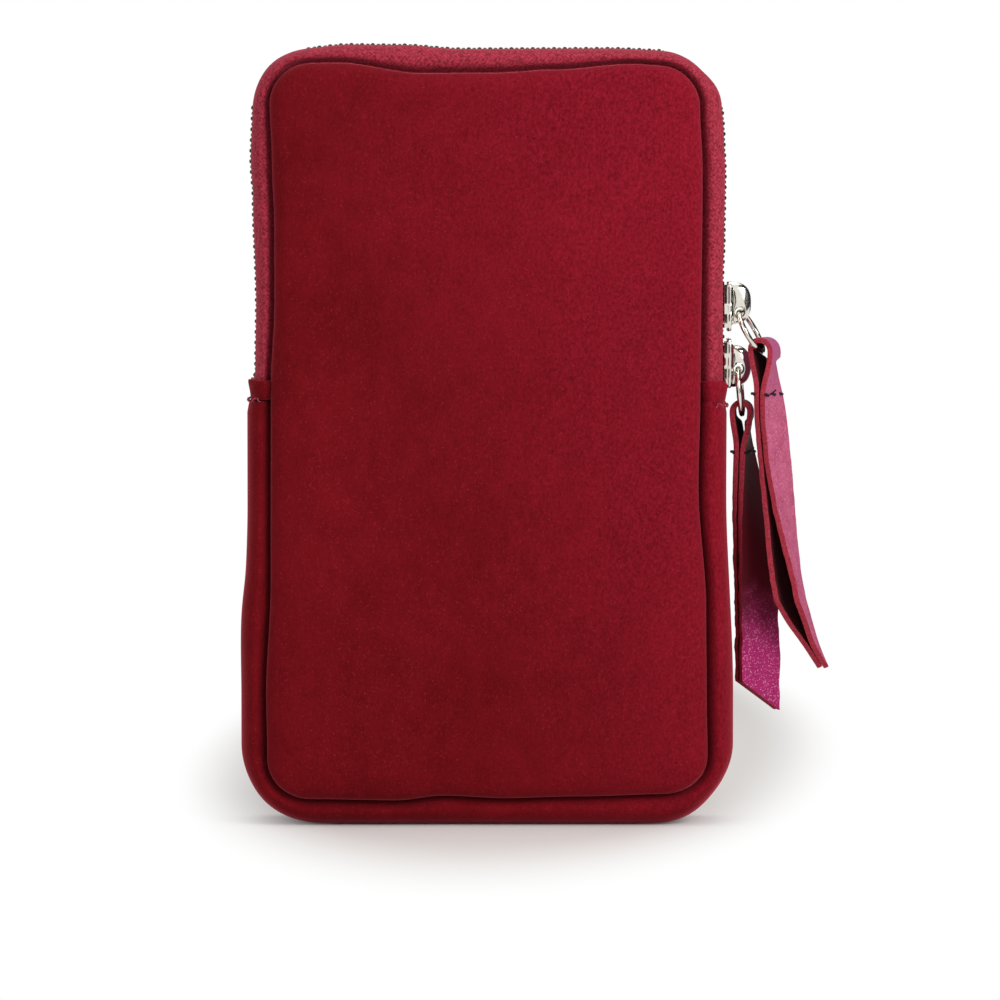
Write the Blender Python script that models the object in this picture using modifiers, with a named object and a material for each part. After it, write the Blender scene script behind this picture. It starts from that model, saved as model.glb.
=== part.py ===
"""Crossbody pouch with a zip round its top, two sliders and two leather zip pulls.

The pouch stands on its base at z = 0 with its front facing -Y. Its middle is at x = 0 and the
chain of the zip runs in the plane y = 0, up the right side, over the top and down the left side.
Everything is in metres.
"""

import math
from typing import NamedTuple

import bmesh
import bpy
import numpy as np
from mathutils import Vector

# The whole pouch
POUCH_WIDTH = 0.1132
POUCH_DEPTH = 0.0300
POUCH_COLLECTION = "crossbody_pouch"
CLEARANCE = 0.0003
CUT_OVERRUN = 0.0040

# Suede panels and what lies behind them
PANEL_TOP = 0.1746
PANEL_BOTTOM = 0.0058
PANEL_CORNER = 0.0095
PANEL_RISE = 0.0034
PANEL_THICKNESS = 0.0012
PADDING_THICKNESS = 0.0020
LINING_THICKNESS = 0.0004
RIM_RINGS = 2
PILLOW_REACH = 0.0300
PILLOW_INSET_SHARES = (0.0, 0.018, 0.07, 0.18, 0.42, 1.0)
PILLOW_RISE_SHARES = (0.0, 0.32, 0.56, 0.74, 0.90, 1.0)

# Gusset round the lower part
GUSSET_BULGE = 0.0069
GUSSET_CORNER = 0.0184
GUSSET_THICKNESS = 0.0012
GUSSET_TOP = 0.0976
GUSSET_DRAW_IN = 0.0015
GUSSET_FULL_HEIGHT = 0.0300
GUSSET_DRAWN_HEIGHT = 0.0740
GUSSET_SEAM_GAP = 0.0003
GUSSET_LINING_INSET = 0.0021
GUSSET_LINING_SEAM_SHARE = 0.70
BAND_OUT_SHARES = (0.05, 0.25, 0.52, 0.78, 0.94, 1.0)
BAND_ACROSS_SHARES = (0.97, 1.06, 1.02, 0.86, 0.66, 0.48)

# Zip tape and its ends
TAPE_BULGE = 0.0038
TAPE_RISE = 0.0033
TAPE_CORNER = 0.0138
TAPE_THICKNESS = 0.0006
TAB_HEIGHT = 0.0018
TAB_THICKNESS = 0.0009
TAPE_OUT_SHARES = (0.05, 0.28, 0.60, 0.86, 1.0)
TAPE_ACROSS_SHARES = (0.97, 1.02, 0.92, 0.72, 0.50)

# Chain
TOOTH_PITCH = 0.00245
TOOTH_BODY = 0.00125
TOOTH_HEAD = 0.00080
TOOTH_HEIGHT = 0.00260
TOOTH_BACK = 0.00280
TOOTH_REACH = 0.00040
CORD_HEIGHT = 0.00120
CORD_INNER = 0.00100
CORD_OUTER = 0.00255

# Mouth
FOLD_ABOVE_ZIP_END = 0.0270

# Sliders
SLIDER_LENGTH = 0.0116
SLIDER_HEAD_WIDTH = 0.0106
SLIDER_TAIL_WIDTH = 0.0080
SLIDER_CORNER = 0.0013
SLIDER_NOTCH = 0.0007
SLIDER_TAIL_STRAIGHT_SHARE = 0.42
SLIDER_SHOULDER_SHARE = 0.68
PLATE_THICKNESS = 0.0009
PLATE_DOME_RISE = 0.0007
PLATE_DOME_INSET = 0.0013
FLANGE_THICKNESS = 0.0008
SLOT_GAP = 0.0013
WEDGE_WIDTH = 0.0014
WEDGE_LENGTH = 0.0030
CROWN_LENGTH = 0.0098
CROWN_RISE = 0.0047
CROWN_WIDTH = 0.0034
CROWN_OFFSET = 0.0007
CROWN_HEAD_WALL = 0.0010
CROWN_TAIL_WALL = 0.0026
CROWN_TOP_WALL = 0.0010
CROWN_SQUARENESS = 2.6
SLIDERS_APART = 0.0015

# Rings
RING_RADIUS = 0.00525
RING_WIRE = 0.0013
UPPER_RING_LEAN = 30.0
LOWER_RING_LEAN = 5.0
UPPER_RING_TURN = 13.0
LOWER_RING_TURN = 5.0

# Leather pulls
PULL_THICKNESS = 0.0015
PULL_WIDTH = 0.0104
PULL_FOLD_WIDTH = 0.0050
FOLD_ROOM = 0.0014
STITCH_DROP = 0.0125
LAYER_GAP = 0.0003
PULL_OFF_CENTRE = 0.0024
TWIST_END_SHARE = 0.60
UPPER_EYE_WIDTH = 0.0034
UPPER_EYE_SHIFT = 0.0003
UPPER_PULL_LENGTH = 0.0760
UPPER_PULL_CUT = 0.0160
UPPER_PULL_LEAN = 0.0056
UPPER_PULL_SWEEP = 0.0060
UPPER_PULL_SWING = 0.0002
UPPER_PULL_SPREAD = 0.0030
UPPER_PULL_TURN = 70.0
LOWER_EYE_WIDTH = 0.0028
LOWER_EYE_SHIFT = -0.0001
LOWER_PULL_LENGTH = 0.0716
LOWER_PULL_CUT = 0.0070
LOWER_PULL_LEAN = 0.0006
LOWER_PULL_SWEEP = 0.0001
LOWER_PULL_SWING = 0.0033
LOWER_PULL_SPREAD = 0.0004
LOWER_PULL_TURN = 31.0


class Shell(NamedTuple):
    """A rounded rectangle in the XZ plane, the same to the left and right of x = 0."""

    half_width: float
    low: float
    high: float
    corner: float

    def inset(self, distance):
        """The same outline drawn in by a distance."""
        return Shell(
            self.half_width - distance,
            self.low + distance,
            self.high - distance,
            max(self.corner - distance, CLEARANCE),
        )


class Look(NamedTuple):
    """A material's colour in linear RGB, its roughness and how metallic it is."""

    name: str
    colour: tuple
    roughness: float
    metallic: float


SUEDE = Look("suede", (0.200, 0.008, 0.013, 1.0), 0.95, 0.0)
TAPE_CLOTH = Look("zip_tape_cloth", (0.280, 0.025, 0.042, 1.0), 0.85, 0.0)
LINING_CLOTH = Look("lining_cloth", (0.060, 0.006, 0.010, 1.0), 0.80, 0.0)
FOAM = Look("padding_foam", (0.500, 0.480, 0.440, 1.0), 0.90, 0.0)
TOOTH_METAL = Look("tooth_metal", (0.110, 0.085, 0.065, 1.0), 0.35, 1.0)
SLIDER_METAL = Look("slider_nickel", (0.660, 0.650, 0.620, 1.0), 0.12, 1.0)
PULL_LEATHER = Look("pull_leather", (0.480, 0.060, 0.170, 1.0), 0.40, 0.35)

SEAM_HALF = POUCH_DEPTH / 2 - PANEL_RISE
PANEL = Shell(POUCH_WIDTH / 2 - GUSSET_BULGE, PANEL_BOTTOM, PANEL_TOP, PANEL_CORNER)
TAPE_HALF_WIDTH = PANEL.half_width + TAPE_BULGE
TAPE_TOP = PANEL_TOP + TAPE_RISE
ZIP_END = GUSSET_TOP + 2 * GUSSET_SEAM_GAP + TAB_HEIGHT
HINGE_HEIGHT = ZIP_END + FOLD_ABOVE_ZIP_END
GUSSET = Shell(POUCH_WIDTH / 2, 0.0, TAPE_TOP, GUSSET_CORNER)
TAPE = Shell(TAPE_HALF_WIDTH, 0.0, TAPE_TOP, TAPE_CORNER)
TAPE_EDGE = TOOTH_BACK + CLEARANCE
CHAIN_SPREAD = TOOTH_REACH + WEDGE_WIDTH / 2 + CLEARANCE
PLATE_FACE = TOOTH_HEIGHT / 2 + CLEARANCE
SLIDER_BACK = PLATE_FACE + PLATE_THICKNESS
LOWER_SLIDER_CENTRE = ZIP_END + CLEARANCE + SLIDER_LENGTH / 2
UPPER_SLIDER_CENTRE = LOWER_SLIDER_CENTRE + SLIDER_LENGTH + SLIDERS_APART
SLIDERS_MEET = (UPPER_SLIDER_CENTRE + LOWER_SLIDER_CENTRE) / 2
CROWN_TAIL_END = CROWN_OFFSET + CROWN_LENGTH / 2
CROWN_HEAD_END = CROWN_OFFSET - CROWN_LENGTH / 2
TUNNEL_TAIL_END = CROWN_TAIL_END - CROWN_TAIL_WALL
TUNNEL_HEAD_END = CROWN_HEAD_END + CROWN_HEAD_WALL
TUNNEL_RISE = CROWN_RISE - CROWN_TOP_WALL
HINGE_AXIS_Y = -POUCH_DEPTH / 2
INSIDE = np.array([0.0, 0.0, (PANEL_TOP + PANEL_BOTTOM) / 2])


def clear_scene():
    """Remove whatever the scene holds, and return the two new collections."""
    for item in list(bpy.data.objects):
        bpy.data.objects.remove(item)
    made = []
    for name in (POUCH_COLLECTION, "cutters"):
        collection = bpy.data.collections.new(name)
        bpy.context.scene.collection.children.link(collection)
        made.append(collection)
    return made


def material(look):
    """The Principled material of a look, made once."""
    found = bpy.data.materials.get(look.name)
    if found:
        return found
    made = bpy.data.materials.new(look.name)
    made.use_nodes = True
    shader = made.node_tree.nodes["Principled BSDF"]
    shader.inputs["Base Color"].default_value = look.colour
    shader.inputs["Roughness"].default_value = look.roughness
    shader.inputs["Metallic"].default_value = look.metallic
    made.diffuse_color = look.colour
    return made


def add_object(name, vertices, faces, look, collection):
    """An object from vertices and faces, in the pouch's own frame."""
    mesh = bpy.data.meshes.new(name)
    mesh.from_pydata([tuple(v) for v in vertices], [], faces)
    mesh.update()
    if look:
        mesh.materials.append(material(look))
    item = bpy.data.objects.new(name, mesh)
    collection.objects.link(item)
    return item


def grid_faces(rows, columns, wrap):
    """Quads over a grid of rows and columns, closed round each row if it wraps."""
    last = columns if wrap else columns - 1
    return [
        (r * columns + c, r * columns + (c + 1) % columns,
         (r + 1) * columns + (c + 1) % columns, (r + 1) * columns + c)
        for r in range(rows - 1) for c in range(last)
    ]


def face_out(item, inside):
    """Turn an open surface's faces away from a point inside it."""
    bm = bmesh.new()
    bm.from_mesh(item.data)
    centre = Vector(inside)
    lean = sum(f.normal.dot(f.calc_center_median() - centre) * f.calc_area() for f in bm.faces)
    if lean < 0:
        bmesh.ops.reverse_faces(bm, faces=bm.faces[:])
    bm.to_mesh(item.data)
    bm.free()


def close_solid(item):
    """Point a closed solid's faces outward."""
    bm = bmesh.new()
    bm.from_mesh(item.data)
    bmesh.ops.recalc_face_normals(bm, faces=bm.faces[:])
    bm.to_mesh(item.data)
    bm.free()


def sheet(name, grid, thickness, look, collection, wrap=False, filled=False):
    """A sheet of cloth or suede: an open surface whose thickness goes inward."""
    rows, columns = grid.shape[:2]
    faces = grid_faces(rows, columns, wrap)
    if filled:
        faces.append(tuple(range((rows - 1) * columns, rows * columns)))
    item = add_object(name, grid.reshape(-1, 3), faces, look, collection)
    face_out(item, INSIDE)
    solid = item.modifiers.new("thickness", "SOLIDIFY")
    solid.thickness = thickness
    solid.offset = -1
    solid.use_even_offset = True
    return item


def loft(name, rings, look, collection):
    """A closed solid through rings of equally many points, with both ends capped."""
    rows, columns = rings.shape[:2]
    faces = grid_faces(rows, columns, True)
    faces.append(tuple(reversed(range(columns))))
    faces.append(tuple(range((rows - 1) * columns, rows * columns)))
    item = add_object(name, rings.reshape(-1, 3), faces, look, collection)
    close_solid(item)
    return item


def box_cutter(name, low, high, collection):
    """A box between two corners, drawn as a wire and left out of renders."""
    bm = bmesh.new()
    bmesh.ops.create_cube(bm, size=1.0)
    middle = [(a + b) / 2 for a, b in zip(low, high)]
    sides = [b - a for a, b in zip(low, high)]
    for v in bm.verts:
        v.co = [m + c * s for m, c, s in zip(middle, v.co, sides)]
    mesh = bpy.data.meshes.new(name)
    bm.to_mesh(mesh)
    bm.free()
    item = bpy.data.objects.new(name, mesh)
    item.hide_render = True
    item.display_type = "WIRE"
    collection.objects.link(item)
    return item


def combine(item, other, operation):
    """Add a Boolean modifier, and hide the other object from the build."""
    change = item.modifiers.new(operation.lower(), "BOOLEAN")
    change.operation = operation
    change.object = other
    change.solver = "EXACT"


def rounded_outline(shell, side_steps, corner_steps):
    """Points round a shell, from the middle of its base up the right side and round."""
    arc_x, arc_z = shell.half_width - shell.corner, shell.high - shell.corner
    foot_z = shell.low + shell.corner
    turns = np.radians(np.linspace(0, 90, corner_steps + 1))
    right = [(0.0, shell.low)]
    right += [(arc_x + shell.corner * math.sin(t), foot_z - shell.corner * math.cos(t))
              for t in turns]
    right += [(shell.half_width, z) for z in np.linspace(foot_z, arc_z, side_steps + 1)[1:-1]]
    right += [(arc_x + shell.corner * math.cos(t), arc_z + shell.corner * math.sin(t))
              for t in turns]
    left = [(-x, z) for x, z in reversed(right[1:])]
    return np.array(right + [(0.0, shell.high)] + left)


def pillow(name, side, first_ring, sunk, thickness, look, collections):
    """A padded panel's layer: rings that climb from the seam to the flat middle."""
    rings = []
    for reach, rise in list(zip(PILLOW_INSET_SHARES, PILLOW_RISE_SHARES))[first_ring:]:
        outline = rounded_outline(PANEL.inset(reach * PILLOW_REACH), 4, 4)
        across = side * (SEAM_HALF + rise * PANEL_RISE - sunk)
        rings.append(np.column_stack([outline[:, 0], np.full(len(outline), across), outline[:, 1]]))
    return sheet(name, np.array(rings), thickness, look, collections[0], wrap=True, filled=True)


def halves(name, make, collections):
    """Make a front layer twice and cut it at the fold, for the body and for the mouth."""
    reach = POUCH_WIDTH / 2 + CUT_OVERRUN
    depth = POUCH_DEPTH / 2 + CUT_OVERRUN
    spans = {
        "lower": (HINGE_HEIGHT - CLEARANCE / 2, TAPE_TOP + CUT_OVERRUN),
        "upper": (-CUT_OVERRUN, HINGE_HEIGHT + CLEARANCE / 2),
    }
    for part, (low, high) in spans.items():
        item = make(f"{name}_{part}")
        corners = (-reach, -depth, low), (reach, depth, high)
        cutter = box_cutter(f"cut_{name}_{part}", *corners, collections[1])
        combine(item, cutter, "DIFFERENCE")


def panel_hit(shell, turn, upper):
    """Where a ray from a shell's corner centre meets the panel's outline."""
    centre_x = shell.half_width - shell.corner
    centre_z = shell.high - shell.corner if upper else shell.low + shell.corner
    edge_z = PANEL.high - centre_z if upper else centre_z - PANEL.low
    edge_x = PANEL.half_width - centre_x
    ray = (math.cos(turn), math.sin(turn))
    arc = (edge_x - PANEL.corner, edge_z - PANEL.corner)
    along = arc[0] * ray[0] + arc[1] * ray[1]
    reach = along + math.sqrt(along**2 - arc[0] ** 2 - arc[1] ** 2 + PANEL.corner**2)
    if reach * ray[0] < arc[0]:
        reach = edge_z / ray[1]
    elif reach * ray[1] < arc[1]:
        reach = edge_x / ray[0]
    up = 1 if upper else -1
    return centre_x + reach * ray[0], centre_z + up * reach * ray[1]


def drawn_width(shell, z, draw_in):
    """Half the width of a band at a height, narrower towards the gusset's top."""
    share = np.clip((z - GUSSET_FULL_HEIGHT) / (GUSSET_DRAWN_HEIGHT - GUSSET_FULL_HEIGHT), 0, 1)
    return shell.half_width - draw_in * share


def side_route(shell, heights, draw_in=0.0):
    """Pairs of panel point and crest point up the right side."""
    return [((PANEL.half_width, z), (drawn_width(shell, z, draw_in), z)) for z in heights]


def end_route(shell, upper, corner_steps, run_steps):
    """Pairs round a right corner and along the top or the base to the middle."""
    centre_x = shell.half_width - shell.corner
    centre_z = shell.high - shell.corner if upper else shell.low + shell.corner
    up = 1 if upper else -1
    pairs = []
    for turn in np.radians(np.linspace(0, 90, corner_steps + 1)):
        crest_x = centre_x + shell.corner * math.cos(turn)
        crest_z = centre_z + up * shell.corner * math.sin(turn)
        pairs.append((panel_hit(shell, turn, upper), (crest_x, crest_z)))
    seam_z, crest_z = (PANEL.high, shell.high) if upper else (PANEL.low, shell.low)
    for x in np.linspace(centre_x, 0, run_steps + 1)[1:]:
        pairs.append(((x, seam_z), (x, crest_z)))
    return pairs


def both_sides(pairs):
    """Carry a right-hand route on past the middle to its mirror image."""
    mirrored = [((-a[0], a[1]), (-b[0], b[1])) for a, b in reversed(pairs[:-1])]
    return pairs + mirrored


def mirror_route(pairs):
    """The same route on the left side."""
    return [((-a[0], a[1]), (-b[0], b[1])) for a, b in pairs]


def band_grid(pairs, outs, acrosses, seam_half, inset=0.0):
    """Surface points of a band: out from the seam to the crest, and across the pouch."""
    grid = np.zeros((len(pairs), len(outs), 3))
    for row, (seam, crest) in enumerate(pairs):
        seam, crest = np.array(seam), np.array(crest)
        outward = (crest - seam) / np.linalg.norm(crest - seam)
        for column, (out, across) in enumerate(zip(outs, acrosses)):
            x, z = seam + (crest - seam) * out - outward * inset
            grid[row, column] = (x, across * seam_half, z)
    return grid


def parting(z):
    """How far the sliders' wedges push each row of teeth aside at a height on the right."""
    full = SLIDERS_APART / 2 + SLIDER_LENGTH * (1 - SLIDER_SHOULDER_SHARE)
    shut = SLIDERS_APART / 2 + SLIDER_LENGTH * (1 - SLIDER_TAIL_STRAIGHT_SHARE)
    share = np.clip((abs(z - SLIDERS_MEET) - full) / (shut - full), 0, 1)
    return CHAIN_SPREAD * (1 - share)


def tape_grid(pairs, side, parted):
    """A tape's surface from the seam to its edge by the teeth, on the front or the back."""
    grid = band_grid(pairs, TAPE_OUT_SHARES + (1.0,), TAPE_ACROSS_SHARES + (0.0,), SEAM_HALF)
    for row, (seam, crest) in enumerate(pairs):
        aside = parting(crest[1]) if parted and crest[0] > 0 else 0.0
        grid[row, -1, 1] = TAPE_EDGE + aside
    grid[:, :, 1] *= side
    outward = np.array([crest for _, crest in pairs]) - np.array([seam for seam, _ in pairs])
    outward /= np.linalg.norm(outward, axis=1)[:, None]
    grid[:, :, 0] += outward[:, None, 0] * TAPE_THICKNESS / 2
    grid[:, :, 2] += outward[:, None, 1] * TAPE_THICKNESS / 2
    return grid


SIDE_TOP = TAPE.high - TAPE.corner
CORNER_RUN = TAPE.corner * math.pi / 2
TOP_RUN = 2 * (TAPE.half_width - TAPE.corner)
SIDE_RUN = SIDE_TOP - ZIP_END
CHAIN_LENGTH = 2 * SIDE_RUN + 2 * CORNER_RUN + TOP_RUN


def chain_place(s):
    """The point and outward normal on the chain's path, a distance from its right end."""
    if s > CHAIN_LENGTH / 2:
        point, normal = chain_place(CHAIN_LENGTH - s)
        return np.array([-point[0], point[1]]), np.array([-normal[0], normal[1]])
    if s < SIDE_RUN:
        return np.array([TAPE.half_width, ZIP_END + s]), np.array([1.0, 0.0])
    corner_x = TAPE.half_width - TAPE.corner
    if s < SIDE_RUN + CORNER_RUN:
        turn = (s - SIDE_RUN) / TAPE.corner
        normal = np.array([math.cos(turn), math.sin(turn)])
        return np.array([corner_x, SIDE_TOP]) + TAPE.corner * normal, normal
    run = s - SIDE_RUN - CORNER_RUN
    return np.array([corner_x - run, TAPE.high]), np.array([0.0, 1.0])


def chain_ring(side, near, far, height, s_near, s_far):
    """Four corners of a section of the chain, from the centre side to the tape side."""
    ring = []
    for s, across, lift in ((s_near, near, 1), (s_near, near, -1), (s_far, far, -1), (s_far, far, 1)):
        point, normal = chain_place(s)
        aside = parting(point[1]) if point[0] > 0 else 0.0
        x, z = point + normal * lift * height / 2
        ring.append((x, side * (across + aside), z))
    return ring


def chain(name, side, phase, start, end, collection):
    """A row of teeth on the corded edge of its tape, between two places along the zip."""
    rings = [chain_ring(side, CORD_INNER, CORD_OUTER, CORD_HEIGHT, start, start)]
    for number in range(int(CHAIN_LENGTH / TOOTH_PITCH) + 1):
        s = (number + phase) * TOOTH_PITCH
        if s - TOOTH_PITCH / 2 < start or s + TOOTH_PITCH / 2 > end:
            continue
        for way in (-1, 1):
            body, head = s + way * TOOTH_BODY / 2, s + way * TOOTH_HEAD / 2
            cord = chain_ring(side, CORD_INNER, CORD_OUTER, CORD_HEIGHT, body, body)
            tooth = chain_ring(side, -TOOTH_REACH, TOOTH_BACK, TOOTH_HEIGHT, head, body)
            rings += [cord, tooth] if way < 0 else [tooth, cord]
    rings.append(chain_ring(side, CORD_INNER, CORD_OUTER, CORD_HEIGHT, end, end))
    return loft(name, np.array(rings), TOOTH_METAL, collection)


def prism(name, points, low, high, look, collection):
    """An outline in the YZ plane, carried from one place on the X axis to another."""
    rings = np.array([[(level, *point) for point in points] for level in (low, high)])
    return loft(name, rings, look, collection)


def plate_side(inset):
    """The slider's plate outline on one side, from the tail to the head, as (across, along)."""
    tail, head = SLIDER_TAIL_WIDTH / 2 - inset, SLIDER_HEAD_WIDTH / 2 - inset
    end = SLIDER_LENGTH / 2 - inset
    return [
        (tail - SLIDER_CORNER, end),
        (tail, end - SLIDER_CORNER),
        (tail, SLIDER_LENGTH * (1 / 2 - SLIDER_TAIL_STRAIGHT_SHARE)),
        (head, SLIDER_LENGTH * (1 / 2 - SLIDER_SHOULDER_SHARE)),
        (head, SLIDER_CORNER - end),
        (head - SLIDER_CORNER, -end),
    ]


def plate_outline(inset):
    """The whole plate outline, with the small notch between the two mouths at the head."""
    right = plate_side(inset)
    left = [(-across, along) for across, along in reversed(right)]
    return right + [(0.0, SLIDER_NOTCH + inset - SLIDER_LENGTH / 2)] + left


def flange_outline(way):
    """The rim along one side of the slider that the tape passes under."""
    outer = plate_side(0.0)[1:-1]
    inner = plate_side(FLANGE_THICKNESS)[1:-1]
    return [(way * across, along) for across, along in outer + inner[::-1]]


def hoop(tail_end, head_end, rise):
    """A squared arch over the slider's plate, from its tail foot to its head foot."""
    middle, half_length = (tail_end + head_end) / 2, (tail_end - head_end) / 2
    power = 2 / CROWN_SQUARENESS
    sunk = SLIDER_BACK - PLATE_THICKNESS / 2
    points = [(sunk, tail_end)]
    for turn in np.radians(np.linspace(0, 180, 15)):
        along = math.copysign(abs(math.cos(turn)) ** power, math.cos(turn))
        out = abs(math.sin(turn)) ** power
        points.append((SLIDER_BACK + rise * out, middle + half_length * along))
    return points + [(sunk, head_end)]


def crown(scratch):
    """The crown: a hoop with a tunnel for the ring, thicker on the slider's tail side."""
    outer = hoop(CROWN_TAIL_END, CROWN_HEAD_END, CROWN_RISE)
    inner = hoop(TUNNEL_TAIL_END, TUNNEL_HEAD_END, TUNNEL_RISE)
    sides = [(CROWN_WIDTH / 2 * way) for way in (-1, 1)]
    rings = np.array([[(x, y, z) for x, z in outer + inner[::-1]] for y in sides])
    return loft("slider_crown", rings, None, scratch)


def slider_mesh(collections):
    """The slider's casting: two plates, their rims, the wedge between them and the crown."""
    parts, scratch = collections
    sunk = PLATE_THICKNESS / 2
    half_slot = SLOT_GAP / 2
    plate, top = plate_outline(0.0), plate_outline(PLATE_DOME_INSET)
    body = prism("slider_body", plate, PLATE_FACE, SLIDER_BACK, SLIDER_METAL, parts)
    dome_top = SLIDER_BACK + PLATE_DOME_RISE
    pieces = [
        prism("slider_inner_plate", plate, -SLIDER_BACK, -PLATE_FACE, None, scratch),
        prism("slider_dome", top, SLIDER_BACK - sunk, dome_top, None, scratch),
        crown(scratch),
    ]
    wedge_head = WEDGE_LENGTH / 2 - SLIDER_LENGTH / 2 + FLANGE_THICKNESS
    diamond = [
        (0.0, wedge_head + WEDGE_LENGTH / 2),
        (WEDGE_WIDTH / 2, wedge_head),
        (0.0, wedge_head - WEDGE_LENGTH / 2),
        (-WEDGE_WIDTH / 2, wedge_head),
    ]
    reach = PLATE_FACE + sunk
    pieces.append(prism("slider_wedge", diamond, -reach, reach, None, scratch))
    for way in (-1, 1):
        rim = flange_outline(way)
        pieces.append(prism(f"slider_outer_rim_{way}", rim, half_slot, reach, None, scratch))
        pieces.append(prism(f"slider_inner_rim_{way}", rim, -reach, -half_slot, None, scratch))
    for piece in pieces:
        piece.hide_render = True
        piece.display_type = "WIRE"
        combine(body, piece, "UNION")
    bpy.context.view_layer.update()
    graph = bpy.context.evaluated_depsgraph_get()
    mesh = bpy.data.meshes.new_from_object(body.evaluated_get(graph))
    bpy.data.objects.remove(body)
    for piece in pieces:
        bpy.data.objects.remove(piece)
    return mesh


def add_empty(name, place, collection, parent=None):
    """An empty on a joint's axis, which carries the pieces that move with it."""
    empty = bpy.data.objects.new(name, None)
    empty.location = place
    empty.parent = parent
    collection.objects.link(empty)
    return empty


def slider(name, mesh, height, flipped, collection):
    """A slider on the right side of the chain, with its head down, or up if it is flipped."""
    item = bpy.data.objects.new(name, mesh)
    item.location = (TAPE_HALF_WIDTH, 0.0, height)
    item.rotation_euler = (math.pi if flipped else 0.0, 0.0, 0.0)
    collection.objects.link(item)
    return item


def ring_top(slider_height, way, turn):
    """Where a ring's upper side lies in the tunnel of the crown, at the tunnel's lower end.

    The wire bends down and turns out of the tunnel's plane on its way through, and the tunnel
    narrows towards its roof. All three lift the wire off the tunnel's end.
    """
    rise = PLATE_DOME_RISE + CLEARANCE + RING_WIRE / 2
    aside = CROWN_WIDTH / 2 * math.sin(math.radians(turn))
    outer_share = (rise + RING_WIRE / 2 + aside) / TUNNEL_RISE
    open_share = (1 - outer_share**CROWN_SQUARENESS) ** (1 / CROWN_SQUARENESS)
    middle = slider_height + way * (TUNNEL_TAIL_END + TUNNEL_HEAD_END) / 2
    low_end = middle - (TUNNEL_TAIL_END - TUNNEL_HEAD_END) / 2 * open_share
    bend = RING_RADIUS - math.sqrt(RING_RADIUS**2 - (CROWN_WIDTH / 2) ** 2)
    lift = RING_WIRE / 2 + bend + CLEARANCE
    return np.array([TAPE_HALF_WIDTH + SLIDER_BACK + rise + aside, 0.0, low_end + lift])


def ring_foot(top, lean):
    """The middle of a ring's lower side."""
    turn = math.radians(lean)
    return top + 2 * RING_RADIUS * np.array([math.sin(turn), 0.0, -math.cos(turn)])


def ring(name, top, lean, turn, collection):
    """A round wire ring that hangs in the crown, leaning out and turned a little."""
    bpy.ops.mesh.primitive_torus_add(
        major_radius=RING_RADIUS, minor_radius=RING_WIRE / 2, major_segments=28, minor_segments=8)
    item = bpy.context.active_object
    item.name = item.data.name = name
    for owner in list(item.users_collection):
        owner.objects.unlink(item)
    collection.objects.link(item)
    item.data.materials.append(material(SLIDER_METAL))
    item.rotation_euler = (math.radians(turn), math.radians(90.0 - lean), 0.0)
    item.location = (top + ring_foot(top, lean)) / 2
    item.data.shade_smooth()
    return item


class Strip(NamedTuple):
    """A folded leather pull: how long it hangs, how it is cut and how its layers part."""

    length: float
    cut: float
    lean: float
    sweep: float
    swing: float
    spread: float
    first_turn: float
    last_turn: float
    eye_width: float
    eye_shift: float
    aside: float


def strip_section(strip, fold, drop, layer, edge):
    """The middle of one layer at one edge of the strip, a distance below the fold's top."""
    share = drop / strip.length
    eased = min(share / TWIST_END_SHARE, 1.0)
    eased = eased * eased * (3 - 2 * eased)
    turn = math.radians(strip.first_turn + (strip.last_turn - strip.first_turn) * eased)
    along_width = np.array([math.cos(turn), math.sin(turn)])
    outward = np.array([math.sin(turn), -math.cos(turn)])
    eye = (strip.eye_width + PULL_THICKNESS) / 2
    shut = (LAYER_GAP + PULL_THICKNESS) / 2
    past = max(drop - STITCH_DROP, 0.0) / (strip.length - STITCH_DROP)
    below = strip.spread / 2 * math.sin(math.pi * past) ** 2
    closing = np.clip((drop - eye) / (STITCH_DROP - eye), 0, 1)
    apart = (eye - shut) * (1 + math.cos(math.pi * closing)) / 2 + shut + below
    if drop < eye:
        apart = math.sqrt(max(eye**2 - (eye - drop) ** 2, 0.0))
    wide = np.interp(drop, (0.0, eye, STITCH_DROP), (PULL_FOLD_WIDTH, PULL_FOLD_WIDTH, PULL_WIDTH))
    hang_x = strip.swing * eased + strip.lean * share + strip.sweep * share**5
    centre = np.array([fold[0] + strip.eye_shift + hang_x, strip.aside * min(drop / STITCH_DROP, 1.0)])
    x, y = centre + along_width * edge * wide / 2 + outward * layer * apart
    return np.array([x, y, fold[2] - drop])


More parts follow.
